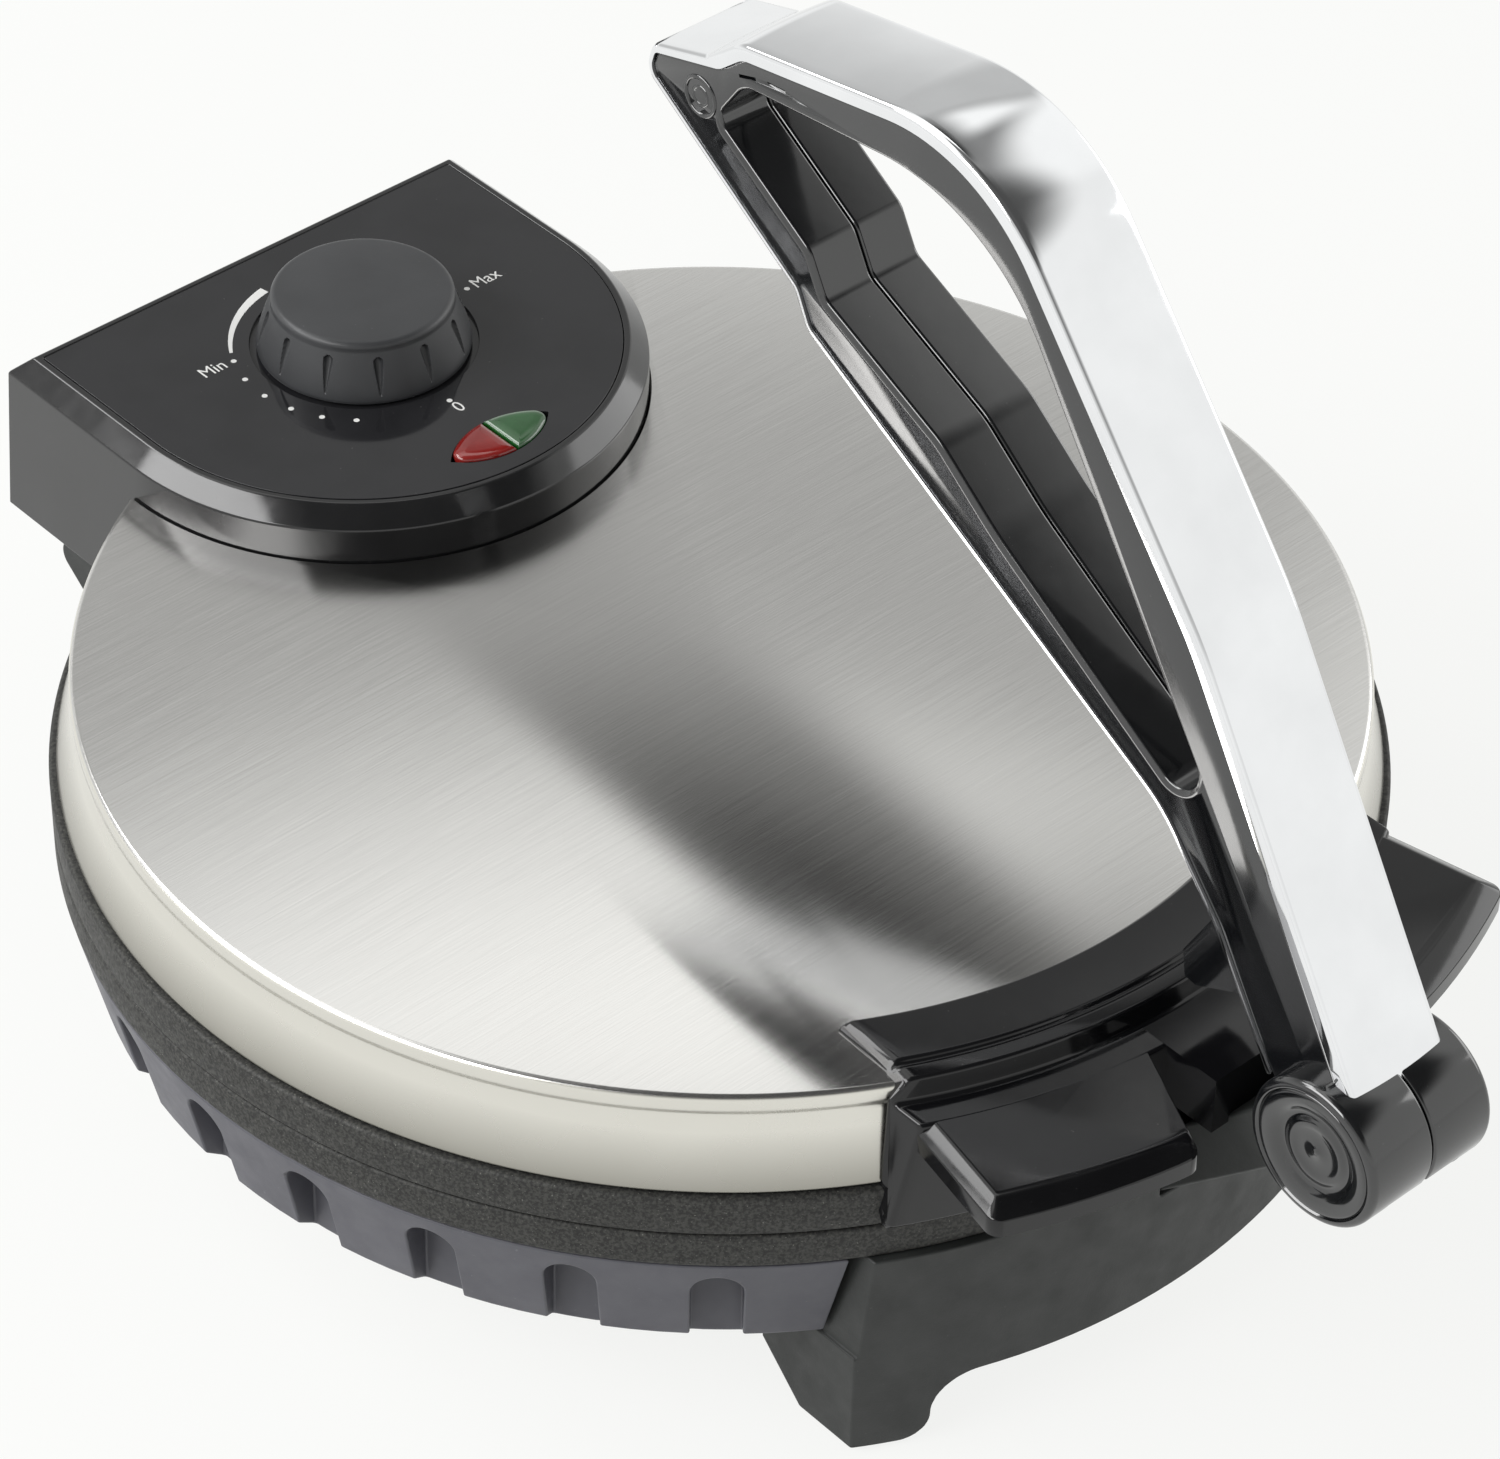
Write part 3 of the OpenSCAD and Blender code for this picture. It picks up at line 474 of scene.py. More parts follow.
def moulded(name, rgb, roughness, grain=0.02, scale=2600, spread=6, dust=True):
    """Moulded plastic with a fine grain, slight blotches and a little dust."""
    look = Look(name, rgb, roughness)
    lighter = [min(255, c + spread) for c in rgb]
    darker = [max(0, c - spread) for c in rgb]
    look.colour(look.band(look.noise(60, 3), 0.35, 0.65), darker, lighter)
    if dust:
        specks = look.noise(900, 2, 0.5)
        look.colour(look.band(specks, 0.74, 0.78, 0.0, 0.35), None, [c + 45 for c in rgb])
    look.shine(look.noise(140, 5, 0.6), roughness * 0.85, roughness * 1.15)
    look.bump(look.noise(scale, 2, 0.6), grain)
    return look.material


def glossy(name, rgb, roughness, ior=1.5):
    """Glossy moulded plastic with faint swirls, dust and soft unevenness."""
    look = Look(name, rgb, roughness)
    look.colour(look.band(look.noise(45, 3), 0.4, 0.6), rgb, [c + 5 for c in rgb])
    specks = look.noise(1100, 1, 0.4)
    look.colour(look.band(specks, 0.79, 0.82, 0.0, 0.25), None, (110, 110, 108))
    look.shine(look.noise(90, 6, 0.65), roughness * 0.7, roughness * 1.4)
    look.bump(look.noise(110, 2, 0.4), 0.02)
    look.shader.inputs["IOR"].default_value = ior
    return look.material


def brushed(name, rgb, roughness):
    """Stainless sheet brushed along X, very slightly domed."""
    across, along = 3600, 24
    look = Look(name, rgb, roughness, 1.0)
    grain = look.noise(1, 6, 0.7, (along, across, across))
    fine = look.noise(1, 3, 0.6, (along * 5, across * 2.4, across * 2.4))
    mixed = look.math("ADD", look.math("MULTIPLY", grain, 0.65), look.math("MULTIPLY", fine, 0.35))
    darker = [c - 13 for c in rgb]
    lighter = [min(255, c + 7) for c in rgb]
    look.colour(look.band(mixed, 0.34, 0.66), darker, lighter)
    look.shine(mixed, roughness * 0.85, roughness * 1.2)
    split = look.add("ShaderNodeSeparateXYZ")
    look.links.new(look.position(), split.inputs[0])
    across_x = look.math("POWER", split.outputs["X"], 2.0)
    from_axis = look.math("SUBTRACT", split.outputs["Y"], AXIS_Y * MM)
    fall = look.math("ADD", across_x, look.math("POWER", from_axis, 2.0))
    look.bump(look.math("MULTIPLY", fall, -DOME), 1000.0)
    look.bump(mixed, 0.001)
    look.shader.inputs["Anisotropic"].default_value = 1.0
    tangent = look.add("ShaderNodeCombineXYZ")
    tangent.inputs["Y"].default_value = 1.0
    turn = look.add("ShaderNodeVectorTransform", vector_type="VECTOR", convert_from="OBJECT",
                    convert_to="WORLD")
    look.links.new(tangent.outputs[0], turn.inputs[0])
    look.links.new(turn.outputs[0], look.shader.inputs["Tangent"])
    return look.material


def satin_wall(name, rgb, roughness):
    """The lid's wall: satin steel, with painted shade that greys it towards its hem."""
    look = Look(name, rgb, roughness, 1.0)
    split = look.add("ShaderNodeSeparateXYZ")
    look.links.new(look.position(), split.inputs[0])
    # Painted shade: the wall's colour darkens by 58 towards the hem, along a slightly wavy height.
    shade_height = look.math("ADD", split.outputs["Z"], look.math("MULTIPLY", look.noise(45, 3), 0.0012))
    look.colour(look.band(shade_height, 0.0705, 0.082, 1.0, 0.0), rgb, [c - 58 for c in rgb])
    look.shine(look.noise(60, 4), roughness * 0.9, roughness * 1.1)
    look.bump(look.noise(1, 3, 0.5, (260, 260, 2600)), 0.001)
    return look.material


def polished(name, rgb, roughness, wave=0.03):
    """Polished metal with faint smears and slight waves."""
    look = Look(name, rgb, roughness, 1.0)
    look.colour(look.band(look.noise(35, 4), 0.35, 0.65), rgb, [c - 8 for c in rgb])
    look.shine(look.noise(55, 6, 0.7), roughness * 0.6, roughness * 1.5)
    look.bump(look.noise(40, 2, 0.4), wave)
    return look.material


def cast(name, rgb):
    """Dark cast aluminium with pale specks and a coarse relief."""
    look = Look(name, rgb, 0.62, 0.25)
    look.colour(look.band(look.noise(1500, 3, 0.6), 0.42, 0.6), (38, 38, 37), (66, 66, 63))
    look.colour(look.band(look.noise(2300, 2, 0.5), 0.68, 0.74, 0.0, 0.8), None, (128, 128, 122))
    look.shine(look.noise(700, 3), 0.5, 0.72)
    look.bump(look.noise(900, 5, 0.6), 0.05)
    look.bump(look.noise(2600, 2, 0.5), 0.02)
    return look.material


def plain_metal(name, rgb, roughness, scale=400, relief=0.01):
    """Plain metal with blotches and a fine relief."""
    look = Look(name, rgb, roughness, 1.0)
    look.colour(look.band(look.noise(scale, 4), 0.35, 0.65), [c - 18 for c in rgb], rgb)
    look.shine(look.noise(scale / 2, 4), roughness * 0.8, roughness * 1.25)
    look.bump(look.noise(scale * 3, 3), relief)
    return look.material


def lens_look(name, rgb):
    """Tinted moulded lens."""
    look = Look(name, rgb, 0.08)
    look.colour(look.band(look.noise(160, 3), 0.35, 0.7), rgb, [min(255, c + 16) for c in rgb])
    look.bump(look.noise(240, 2), 0.03)
    look.shader.inputs["Transmission Weight"].default_value = 0.2
    look.shader.inputs["Coat Weight"].default_value = 0.6
    look.shader.inputs["Coat Roughness"].default_value = 0.05
    return look.material


LOOKS = {
    "grey_housing": moulded("grey_housing_look", (84, 84, 91), 0.5, 0.015, 2200, 4),
    "black_housing": moulded("black_housing_look", (45, 47, 46), 0.55, 0.04, 2400, 4),
    "gloss_black": glossy("gloss_black_look", (11, 11, 13), 0.1),
    "lever_black": glossy("lever_black_look", (14, 15, 17), 0.1, 1.85),
    "console_black": glossy("console_black_look", (24, 24, 25), 0.12, 1.6),
    "panel_black": glossy("panel_black_look", (33, 33, 35), 0.07, 1.5),
    "knob_grey": moulded("knob_grey_look", (56, 57, 59), 0.4, 0.012, 2600, 3),
    "cast_plate": cast("cast_plate_look", (50, 50, 48)),
    "stainless": brushed("stainless_look", (208, 207, 205), 0.14),
    "stainless_wall": satin_wall("stainless_wall_look", (222, 220, 212), 0.27),
    "chrome_skin": polished("chrome_skin_look", (240, 241, 243), 0.06),
    "steel": plain_metal("steel_look", (176, 177, 180), 0.28),
    "element_steel": plain_metal("element_steel_look", (104, 100, 97), 0.5, 600, 0.02),
    "shield": plain_metal("shield_look", (186, 189, 193), 0.38, 120, 0.01),
    "die_cast": plain_metal("die_cast_look", (146, 148, 151), 0.5, 500, 0.03),
    "bush_brass": plain_metal("bush_brass_look", (181, 148, 92), 0.35),
    "rubber_pads": moulded("rubber_pads_look", (24, 25, 26), 0.8, 0.04, 1600, 3),
    "ceramic": moulded("ceramic_look", (214, 209, 196), 0.5, 0.02, 1200, 5, False),
    "red_lens": lens_look("red_lens_look", (138, 26, 22)),
    "green_lens": lens_look("green_lens_look", (18, 84, 28)),
    "lamp_glass": lens_look("lamp_glass_look", (226, 214, 176)),
    "print": moulded("print_look", (232, 232, 230), 0.45, 0.004, 2600, 3, False),
}


# Pieces on the base

def base_pieces():
    for name, node, edge, look in (
            ("base_ring", "base_housing", 0.5, "grey_housing"),
            ("front_wall", "front_housing", 0.5, "black_housing"),
            ("rear_wall", "rear_housing", 0.6, "black_housing"),
            ("arm", "lever_arm", 0.8, "black_housing")):
        finish(rounded_copy(name, node, edge), LOOKS[look], "base", look, node)


def plate_profile(face, back, dish):
    """A plate's section, from the height of its cooking face to that of its back."""
    edge = 0.9
    sign = 1 if face > back else -1
    bottom = face - sign * dish
    behind = bottom - sign * PLATE_WEB
    profile = [(0, bottom)]
    if dish:
        profile += [(COOKING_R - 1, bottom), (COOKING_R, face)]
    profile += arc_points(edge, 90 * sign, 0, 4, (PLATE_R - edge, face - sign * edge))
    profile += arc_points(edge, 0, -90 * sign, 4, (PLATE_R - edge, back + sign * edge))
    return profile + [(PLATE_WALL_R, back), (PLATE_WALL_R, behind), (0, behind)]


def plate_pieces():
    centre = (0, AXIS_Y, 0)
    low, high = LOWER_PLATE
    lower = turned("lower_plate_piece", plate_profile(high, low, 1.2), centre, 300)
    low, high = UPPER_PLATE
    upper = turned("upper_plate_piece", plate_profile(low, high, 0), centre, 300)
    finish(smooth(lower), LOOKS["cast_plate"], "base", "cast_plate", "lower_plate")
    finish(smooth(upper), LOOKS["cast_plate"], "lid", "cast_plate", "upper_plate")


# Pieces on the lid

def lid_profile():
    """The lid's sheet: flat top, rounded shoulder, neck and flared wall."""
    shoulder = 1.3
    neck_r = LID_R - 0.45
    hollow = 0.25
    points = [(0, LID_TOP)]
    points += arc_points(shoulder, 90, 0, 6, (LID_R - shoulder, LID_TOP - shoulder))
    points += [(LID_R, 87.2), (LID_R - 0.1, 86.5), (LID_R - 0.4, 85.8), (LID_R - 0.55, 85.1),
               (neck_r, LID_NECK_Z)]
    for i in range(1, 9):
        t = i / 9
        points.append((neck_r + (HEM_R - neck_r) * t - hollow * math.sin(math.pi * t),
                       LID_NECK_Z - (LID_NECK_Z - LID_WALL_FOOT) * t))
    points += [(HEM_R, LID_WALL_FOOT), (HEM_R, 69.5), (HEM_R - 0.5, 69.4), (HEM_R - 1.2, 69.5)]
    points += [(LID_R - 1.75, 85.1), (LID_R - 1.3, 87.2), (LID_R - 2.4, LID_TOP - LID_SHEET),
               (0, LID_TOP - LID_SHEET)]
    return points


def lid_piece():
    past_rear, below, above = 200, 60, 100
    skin = turned("lid_skin", lid_profile(), (0, AXIS_Y, 0), 360)
    cut(skin, prism_z("notch", console_plan(NOTCH_HALF, past_rear), below, above))
    smooth(skin, 35)
    finish(skin, LOOKS["stainless"], "lid", "stainless", "lid_cover")
    skin.data.materials.append(LOOKS["stainless_wall"])
    for face in skin.data.polygons:
        if face.center.z < (LID_TOP - 0.3) * MM:
            face.material_index = 1


BRACKET_SECTION = [
    (135.5, 61.1, 0.3), (137, 61.1, 0.8), (138, 62.4, 0.8), (138, 87, 1.0), (131.4, 87, 1.4),
    (130, 91.5, 1), (127, 91.9, 0.9), (126.2, 91.1, 0.4), (125.3, 92.4, 0.9),
    (113.6, 92.4, 0.8), (112.5, 91.2, 0.5), (112.5, 90.05, 0.1), (129.55, 90.05, 0.1),
    (129.55, 86.8, 0.1), (133.15, 69.4, 0.1), (135.5, 69.1, 0.1),
]
BAY_CUT = [
    (-130.6, 87.1), (-130.6, 84.8), (-135.6, 78), (-138.5, 74), (-150, 74), (-150, 87.1),
]
FLANGE_R = 112.5
WING_LOW = 80.5


def bracket_end(height, radius):
    """The bracket's half width: slanted where it lies on the lid, with a rounded corner there."""
    if height <= 88:
        return 62 + (88 - height) * 5 / 27.5
    corner = 3.2
    into = min(corner, max(0.0, FLANGE_R + corner - radius))
    return 57 + (93 - height) - corner + math.sqrt(corner ** 2 - into ** 2)


def bracket_ring():
    """The part that follows the lid round, with softened ends."""
    ends = [(0.8, 0.0), (0.4, 0.1), (0.12, 0.35), (0.0, 0.8)]
    columns = [(inset, -1, back) for inset, back in ends]
    columns += [(0.0, -1 + i / 36, 0.8) for i in range(1, 72)]
    columns += [(inset, 1, back) for inset, back in reversed(ends)]
    rings = []
    for inset, share, back in columns:
        ring = []
        section = rounded(grown(BRACKET_SECTION, [-inset] * len(BRACKET_SECTION)))
        for radius, height in section:
            reach = bracket_end(height, radius) + back * (abs(share) - 2)
            angle = share * math.asin(reach / radius)
            ring.append((radius * math.sin(angle), AXIS_Y - radius * math.cos(angle), height))
        rings.append(ring)
    return loft("bracket_ring", rings)


def wing(side):
    """One grip wing: broad bevels along its outer side and front, and a fine one at the bay."""
    corners = [(-60.5, -113, 0), (-67.9, -147.7, 3)]
    reach, first, last = 162.5, 114.7, 99.8
    corners += [(x, -y, 0) for x, y in arc_points(reach, first, last, 9)[1:-1]]
    corners += [(-27.5, -160, 3), (-14, -131, 2), (-14, -120, 0)]
    widths = [3.2] + [4.6] * 9 + [0.9, 0.0, 0.0]
    levels = [(0, 0.14), (0.15, 0.06), (0.4, 0.0), (4.1, 0.0), (4.3, 0.02), (4.55, 0.08),
              (6.1, 0.84), (6.3, 0.96), (6.4, 1.06), (6.44, 1.2)]
    rings = []
    for rise, share in levels:
        plan = rounded(grown(corners, [-share * width for width in widths]))
        rings.append([(-side * x, y + AXIS_Y, WING_LOW + rise) for x, y in plan])
    return loft("wing", rings)


def bracket_piece():
    bracket = bracket_ring()
    bay = prism_x("bay", [(y + AXIS_Y, z) for y, z in BAY_CUT], -13.5, 13.5)
    cut(bracket, bay)
    bracket = join("bracket", [bracket, wing(-1), wing(1)])
    smooth(bracket, 24)
    finish(bracket, LOOKS["gloss_black"], "lid", "gloss_black", "lid_bracket")


def console_pieces():
    finish(rounded_copy("console_body", "console_housing", 0.35), LOOKS["console_black"],
           "lid", "console_black", "console_housing")
    finish(rounded_copy("console_face", "console_panel", 0.1), LOOKS["panel_black"],
           "lid", "console_black", "console_panel")


def lens_ring(offset, z, side, steps=20):
    """Half of the leaf shape, as points at height z, inset by offset."""
    leaf = ((LENS_W / 2) ** 2 + (LENS_H / 2) ** 2) / LENS_H
    low = leaf - LENS_H / 2
    tip_x = math.sqrt((leaf - LENS_TIP) ** 2 - low ** 2)
    turn = math.atan2(-low, tip_x)
    gap = LENS_GAP + offset
    turn = math.degrees(turn)
    lower = arc_points(leaf - offset, -90, turn, steps, (0, low))
    lower += arc_points(max(0.1, LENS_TIP - offset), turn, 0, 6, (tip_x, 0))[1:]
    upper = [(x, -y) for x, y in reversed(lower[:-1])]
    return [(side * max(gap, x), LENS_Y + AXIS_Y + y, z) for x, y in lower + upper]


def lens_pieces():
    for name, side, node in (("red_half", -1, "red_lens"), ("green_half", 1, "green_lens")):
        rings = [lens_ring(0, FACE_Z - 3, side)]
        for offset, z in ((0, 0.1), (0.08, 0.35), (0.3, 0.6), (0.7, 0.8), (1.4, 0.95), (2.4, 1.05)):
            rings.append(lens_ring(offset, FACE_Z + z, side))
        obj = loft(name, rings)
        smooth(obj, 50)
        finish(obj, LOOKS[node], "lid", node, node)


def knob_shape(angle, radius, height):
    """Teardrop flutes: round and deep near the top, and pointed at the foot."""
    low, high = FACE_Z + FLUTE_LOW, FACE_Z + FLUTE_HIGH
    if radius < 12 or not low < height < high:
        return radius
    pitch = 2 * math.pi / FLUTES
    phase = ((angle + pitch / 2) % pitch) - pitch / 2
    share = (height - low) / (high - low)
    crown = math.sqrt(max(0.0, 1 - max(0.0, (share - 0.84) / 0.16) ** 2))
    half = math.radians(0.5 + 2.9 * share) * crown
    if abs(phase) >= half:
        return radius
    depth = (0.3 + 1.3 * share) * crown
    return radius - depth * math.sqrt(1 - (phase / half) ** 2)


def knob_piece():
    foot = FACE_Z - 0.3
    top = FACE_Z + KNOB_H
    wall = [(KNOB_R - 2.2, foot), (KNOB_R - 0.5, foot)]
    wall += [(KNOB_R - 0.1, foot + 0.3), (KNOB_R, foot + 0.8)]
    for i in range(41):
        t = i / 40
        wall.append((KNOB_R - 0.1 - 3.2 * t ** 1.25, foot + 1.2 + (KNOB_H - 3.0) * t))
    edge = 1.4
    wall += arc_points(edge, 0, 90, 5, (KNOB_R - 3.3 - edge, top - edge))
    wall += [(8, top - 0.05), (0, top - 0.1), (0, top - 2.2), (KNOB_R - 6.2, top - 2.2)]
    knob = turned("knob_skin", wall, (0, KNOB_Y + AXIS_Y, 0), 960, shape=knob_shape)
    smooth(knob, 38)
    finish(knob, LOOKS["knob_grey"], "knob", "knob_grey", "knob")


PRINT_Z = FACE_Z + 0.02
PRINT_H = 0.03
DIAL_R = 27.9
DOT_R = 0.62
DOT_ANGLES = (0, -42.2, -57, -71.5, -86.2, -100.8, -115, 90)
SWEEP_FROM = -121
SWEEP_TURN = -49
WORDS = (("Min", -30.3, 124.8), ("Max", 33.2, 112.7), ("0", 0.1, 81.7))
LETTER_SIZE = 4.8
LETTER_WIDTH = 0.87


def dial_point(angle, radius):
    """A point of the dial, by its angle off the front and its distance from the knob's axis."""
    a = math.radians(angle)
    return radius * math.sin(a), KNOB_Y + AXIS_Y - radius * math.cos(a)


def dot(angle):
    profile = [(0, PRINT_Z), (DOT_R, PRINT_Z), (DOT_R, PRINT_Z + PRINT_H), (0, PRINT_Z + PRINT_H)]
    return turned("dot", profile, (*dial_point(angle, DIAL_R), 0), 24)


def sweep(steps=40):
    """The arc that widens towards its end."""
    inner, outer = [], []
    for i in range(steps + 1):
        angle = SWEEP_FROM + SWEEP_TURN * i / steps
        width = 0.35 + 0.75 * i / steps
        inner.append(dial_point(angle, DIAL_R - width))
        outer.append(dial_point(angle, DIAL_R + width))
    return prism_z("sweep", inner + outer[::-1], PRINT_Z, PRINT_Z + PRINT_H)


def printed_word(word, x, y):
    """A word as a thin solid, centred at x and y."""
    curve = bpy.data.curves.new(word, "FONT")
    curve.body = word
    curve.size = LETTER_SIZE * MM
    curve.align_x = "CENTER"
    curve.align_y = "CENTER"
    curve.extrude = PRINT_H / 2 * MM
    text = bpy.data.objects.new("word_" + word, curve)
    bpy.context.scene.collection.objects.link(text)
    text.location = (x * MM, (y + AXIS_Y) * MM, (PRINT_Z + PRINT_H / 2) * MM)
    text.scale.x = LETTER_WIDTH
    bpy.context.view_layer.update()
    graph = bpy.context.evaluated_depsgraph_get()
    mesh = bpy.data.meshes.new_from_object(text.evaluated_get(graph))
    mesh.transform(text.matrix_world)
    flat = bpy.data.objects.new("word", mesh)
    bpy.context.scene.collection.objects.link(flat)
    bpy.data.objects.remove(text)
    return flat


def print_pieces():
    """Dots, arc and words printed round the knob."""
    marks = [dot(angle) for angle in DOT_ANGLES]
    marks.append(sweep())
    marks += [printed_word(*word) for word in WORDS]
    finish(join("dial_print", marks), LOOKS["print"], "lid", "console_black")


# The lever

LEVER_ORIGIN = (BARREL_Y + AXIS_Y, BARREL_Z)


def shell_paths():
    """The shell's inner and outer outlines, point by point, ending inside the barrel."""
    root = Vector(FRAME_CORNERS[SHELL_LAST + 1][:2])
    up = (Vector(FRAME_CORNERS[SHELL_LAST][:2]) - root).normalized()
    end = root - SHELL_SUNK * up
    end_out = end + SHELL_DEPTHS[SHELL_LAST] * Vector((-up.y, up.x))
    inner = rounded(FRAME_CORNERS, SHELL_FIRST, SHELL_LAST) + [tuple(end)]
    outer = rounded(grown(FRAME_CORNERS, SHELL_DEPTHS), SHELL_FIRST, SHELL_LAST)
    return inner, outer + [tuple(end_out)]


def shell_section(depth):
    """The shell's section, as x and depth: rounded rims and a slightly full crown."""
    edge = min(1.3, depth * 0.42)
    full = 0.35 if depth > 1.9 else 0.08
    flat = SHELL_HALF - edge
    side = [(SHELL_HALF, 0.0)]
    side += arc_points(edge, 0, 90, 6, (flat, depth - full - edge))
    for share in (0.9, 0.75, 0.5, 0.25):
        side.append((flat * share, depth - full * share ** 2))
    return side + [(0.0, depth)] + [(-x, d) for x, d in reversed(side)]


def shell_piece():
    rings = []
    for inside, outside in zip(*shell_paths()):
        a, b = Vector(inside), Vector(outside)
        depth = (b - a).length
        ring = []
        for x, rise in shell_section(depth):
            p = a + (b - a) * (rise / depth)
            ring.append((x, p.x + LEVER_ORIGIN[0], p.y + LEVER_ORIGIN[1]))
        rings.append(ring)
    shell = smooth(loft("lever_chrome", rings), 44)
    finish(shell, LOOKS["chrome_skin"], "lever", "chrome_skin", "lever_shell")


def bead(path, x, radius):
    """A round bead along a y-z path on the face at x, thin at its ends."""
    points = [Vector(p) for p in path]
    run = [0.0]
    for a, b in zip(points, points[1:]):
        run.append(run[-1] + (b - a).length)
    rings = []
    for i, point in enumerate(points):
        along = (points[min(i + 1, len(points) - 1)] - points[max(i - 1, 0)]).normalized()
        across = Vector((-along.y, along.x))
        r = radius * min(1.0, 0.2 + min(run[i], run[-1] - run[i]) / 8)
        ring = []
        for k in range(12):
            a = 2 * math.pi * k / 12
            p = point + across * (r * math.cos(a))
            ring.append((x + r * math.sin(a), p.x + LEVER_ORIGIN[0], p.y + LEVER_ORIGIN[1]))
        rings.append(ring)
    return loft("bead", rings)


def slot_bead(side):
    """The raised rim along the slot's lower edge, from the tip to the barrel's end."""
    wider = grown(SLOT_CORNERS, [1.3] * len(SLOT_CORNERS))
    path = corner_arc(wider[-1][:2], wider[0][:2], wider[1][:2], wider[0][2])
    path += rounded(wider, 1, 5)
    dense = []
    for a, b in zip(path, path[1:]):
        steps = max(1, round((Vector(b) - Vector(a)).length / 2))
        dense += [tuple(Vector(a).lerp(Vector(b), k / steps)) for k in range(steps)]
    return bead(dense + [path[-1]], side * (FRAME_HALF - 0.55), 0.95)


def slit(start, stop, side, width=0.7):
    """A short narrow cutter in the outer face of a lever half."""
    a, b = Vector(start), Vector(stop)
    across = Vector((-(b - a).y, (b - a).x)).normalized() * width / 2
    outline = [tuple(p) for p in (a - across, b - across, b + across, a + across)]
    return prism_x("slit", outline, side * (FRAME_HALF - 0.8), side * (FRAME_HALF + 1), LEVER_ORIGIN)


def boss(side):
    """The screw's head: two raised rings and a dished middle."""
    profile = [
        (0, 9.5), (4.4, 9.5), (4.4, 11.6), (4.3, 11.8), (4.05, 11.93), (3.8, 11.93), (3.55, 11.8),
        (3.4, 11.5), (3.25, 11.2), (2.6, 11.15), (2.4, 11.45), (2.2, 11.7), (1.9, 11.8),
        (1.6, 11.7), (1.35, 11.4), (1.1, 11.3), (0, 11.3),
    ]
    centre = (0, LEVER_ORIGIN[0] + SCREW[0], LEVER_ORIGIN[1] + SCREW[1])
    return turned("boss", [(r, side * h) for r, h in profile], centre, 48, "X")


def screw_piece():
    middle = (0, LEVER_ORIGIN[0] + SCREW[0], LEVER_ORIGIN[1] + SCREW[1])
    shank = turned("shank", [(0, -9.6), (2, -9.6), (2, 9.6), (0, 9.6)], middle, 32, "X")
    screw = smooth(join("screw_bosses", [boss(-1), boss(1), shank]), 50)
    finish(screw, LOOKS["lever_black"], "lever", "steel", "lever_screw")


def lead(height, radius):
    """The angle in degrees at which a circle of radius reaches height."""
    return math.degrees(math.asin(height / radius))


def arm_space():
    """The space that the arm sweeps in the barrel, from the pressed lever to the open one."""
    start, stop = ARM_ANGLE + PRESS_TURN, ARM_ANGLE - OPEN_TURN
    outline = arc_points(ARM_SPACE_R, start + lead(CAVITY_R, ARM_SPACE_R),
                         stop - lead(ARM_UNDER, ARM_SPACE_R), 32)
    outline += arc_points(CAVITY_R, stop - lead(ARM_UNDER, CAVITY_R), start + 90 - 360, 28)
    return prism_x("arm_space", outline, -CAVITY_HALF, CAVITY_HALF, LEVER_ORIGIN)


def barrel_half(side):
    """One half of the barrel, with a small round at the parting line and a larger one at its end."""
    inner, edge = 0.7, 1.5
    profile = [(0, PARTING), (BARREL_R - inner, PARTING)]
    profile += arc_points(inner, -90, 0, 4, (BARREL_R - inner, PARTING + inner))
    profile += arc_points(edge, 0, 90, 6, (BARREL_R - edge, BARREL_HALF - edge))
    profile += [(CAP_R + 0.1, BARREL_HALF), (CAP_R + 0.1, BARREL_HALF - CAP_DEPTH),
                (0, BARREL_HALF - CAP_DEPTH)]
    profile = [(r, side * h) for r, h in profile]
    return turned("barrel", profile, (0, *LEVER_ORIGIN), 144, "X")


def lever_half(name, side, node):
    limb = prism_x(name, rounded(FRAME_CORNERS), side * PARTING, side * FRAME_HALF, LEVER_ORIGIN)
    cut(limb, prism_x("slot", rounded(SLOT_CORNERS), -THROUGH, THROUGH, LEVER_ORIGIN))
    flatten(limb, 0.05)
    soften(limb, 0.7, 28)
    settle(limb)
    for ends in SLITS:
        cut(limb, slit(*ends, side))
    cut(limb, slot_bead(side), operation="UNION")
    cut(limb, barrel_half(side), operation="UNION")
    cut(limb, arm_space())
    bore = [(0, -THROUGH), (PIN_R, -THROUGH), (PIN_R, THROUGH), (0, THROUGH)]
    cut(limb, turned("hole", bore, (0, *LEVER_ORIGIN), 64, "X"))
    smooth(limb, 38)
    finish(limb, LOOKS["lever_black"], "lever", "gloss_black", node)


def cap_piece(name, side, node):
    edge = 0.9
    h0 = BARREL_HALF - CAP_DEPTH + 0.05
    h1 = BARREL_HALF
    profile = [(0, h0), (CAP_R, h0), (CAP_R, h1 - edge)]
    profile += arc_points(edge, 0, 90, 5, (CAP_R - edge, h1 - edge))
    sunk = [(12.0, 0.0), (11.2, 0.03), (10.3, 0.2), (9.5, 0.55), (8.9, 1.05), (8.3, 1.4),
            (7.7, 1.45), (7.1, 1.3), (6.7, 1.05), (6.2, 0.93), (5.6, 0.95), (5.0, 1.12),
            (4.5, 1.25), (1.1, 1.32), (0.9, 1.2), (0.5, 1.05), (0, 1.0)]
    profile += [(r, h1 - d) for r, d in sunk]
    profile = [(r, side * h) for r, h in profile]
    cap = turned(name, profile, (0, *LEVER_ORIGIN), 144, "X")
    smooth(cap, 50)
    finish(cap, LOOKS["lever_black"], "lever", "gloss_black", node)


def lever_pieces():
    shell_piece()
    screw_piece()
    lever_half("lever_black_left", -1, "lever_frame_left")
    lever_half("lever_black_right", 1, "lever_frame_right")
    cap_piece("barrel_disc_left", -1, "barrel_cap_left")
    cap_piece("barrel_disc_right", 1, "barrel_cap_right")


# Materials of the nodes that stay

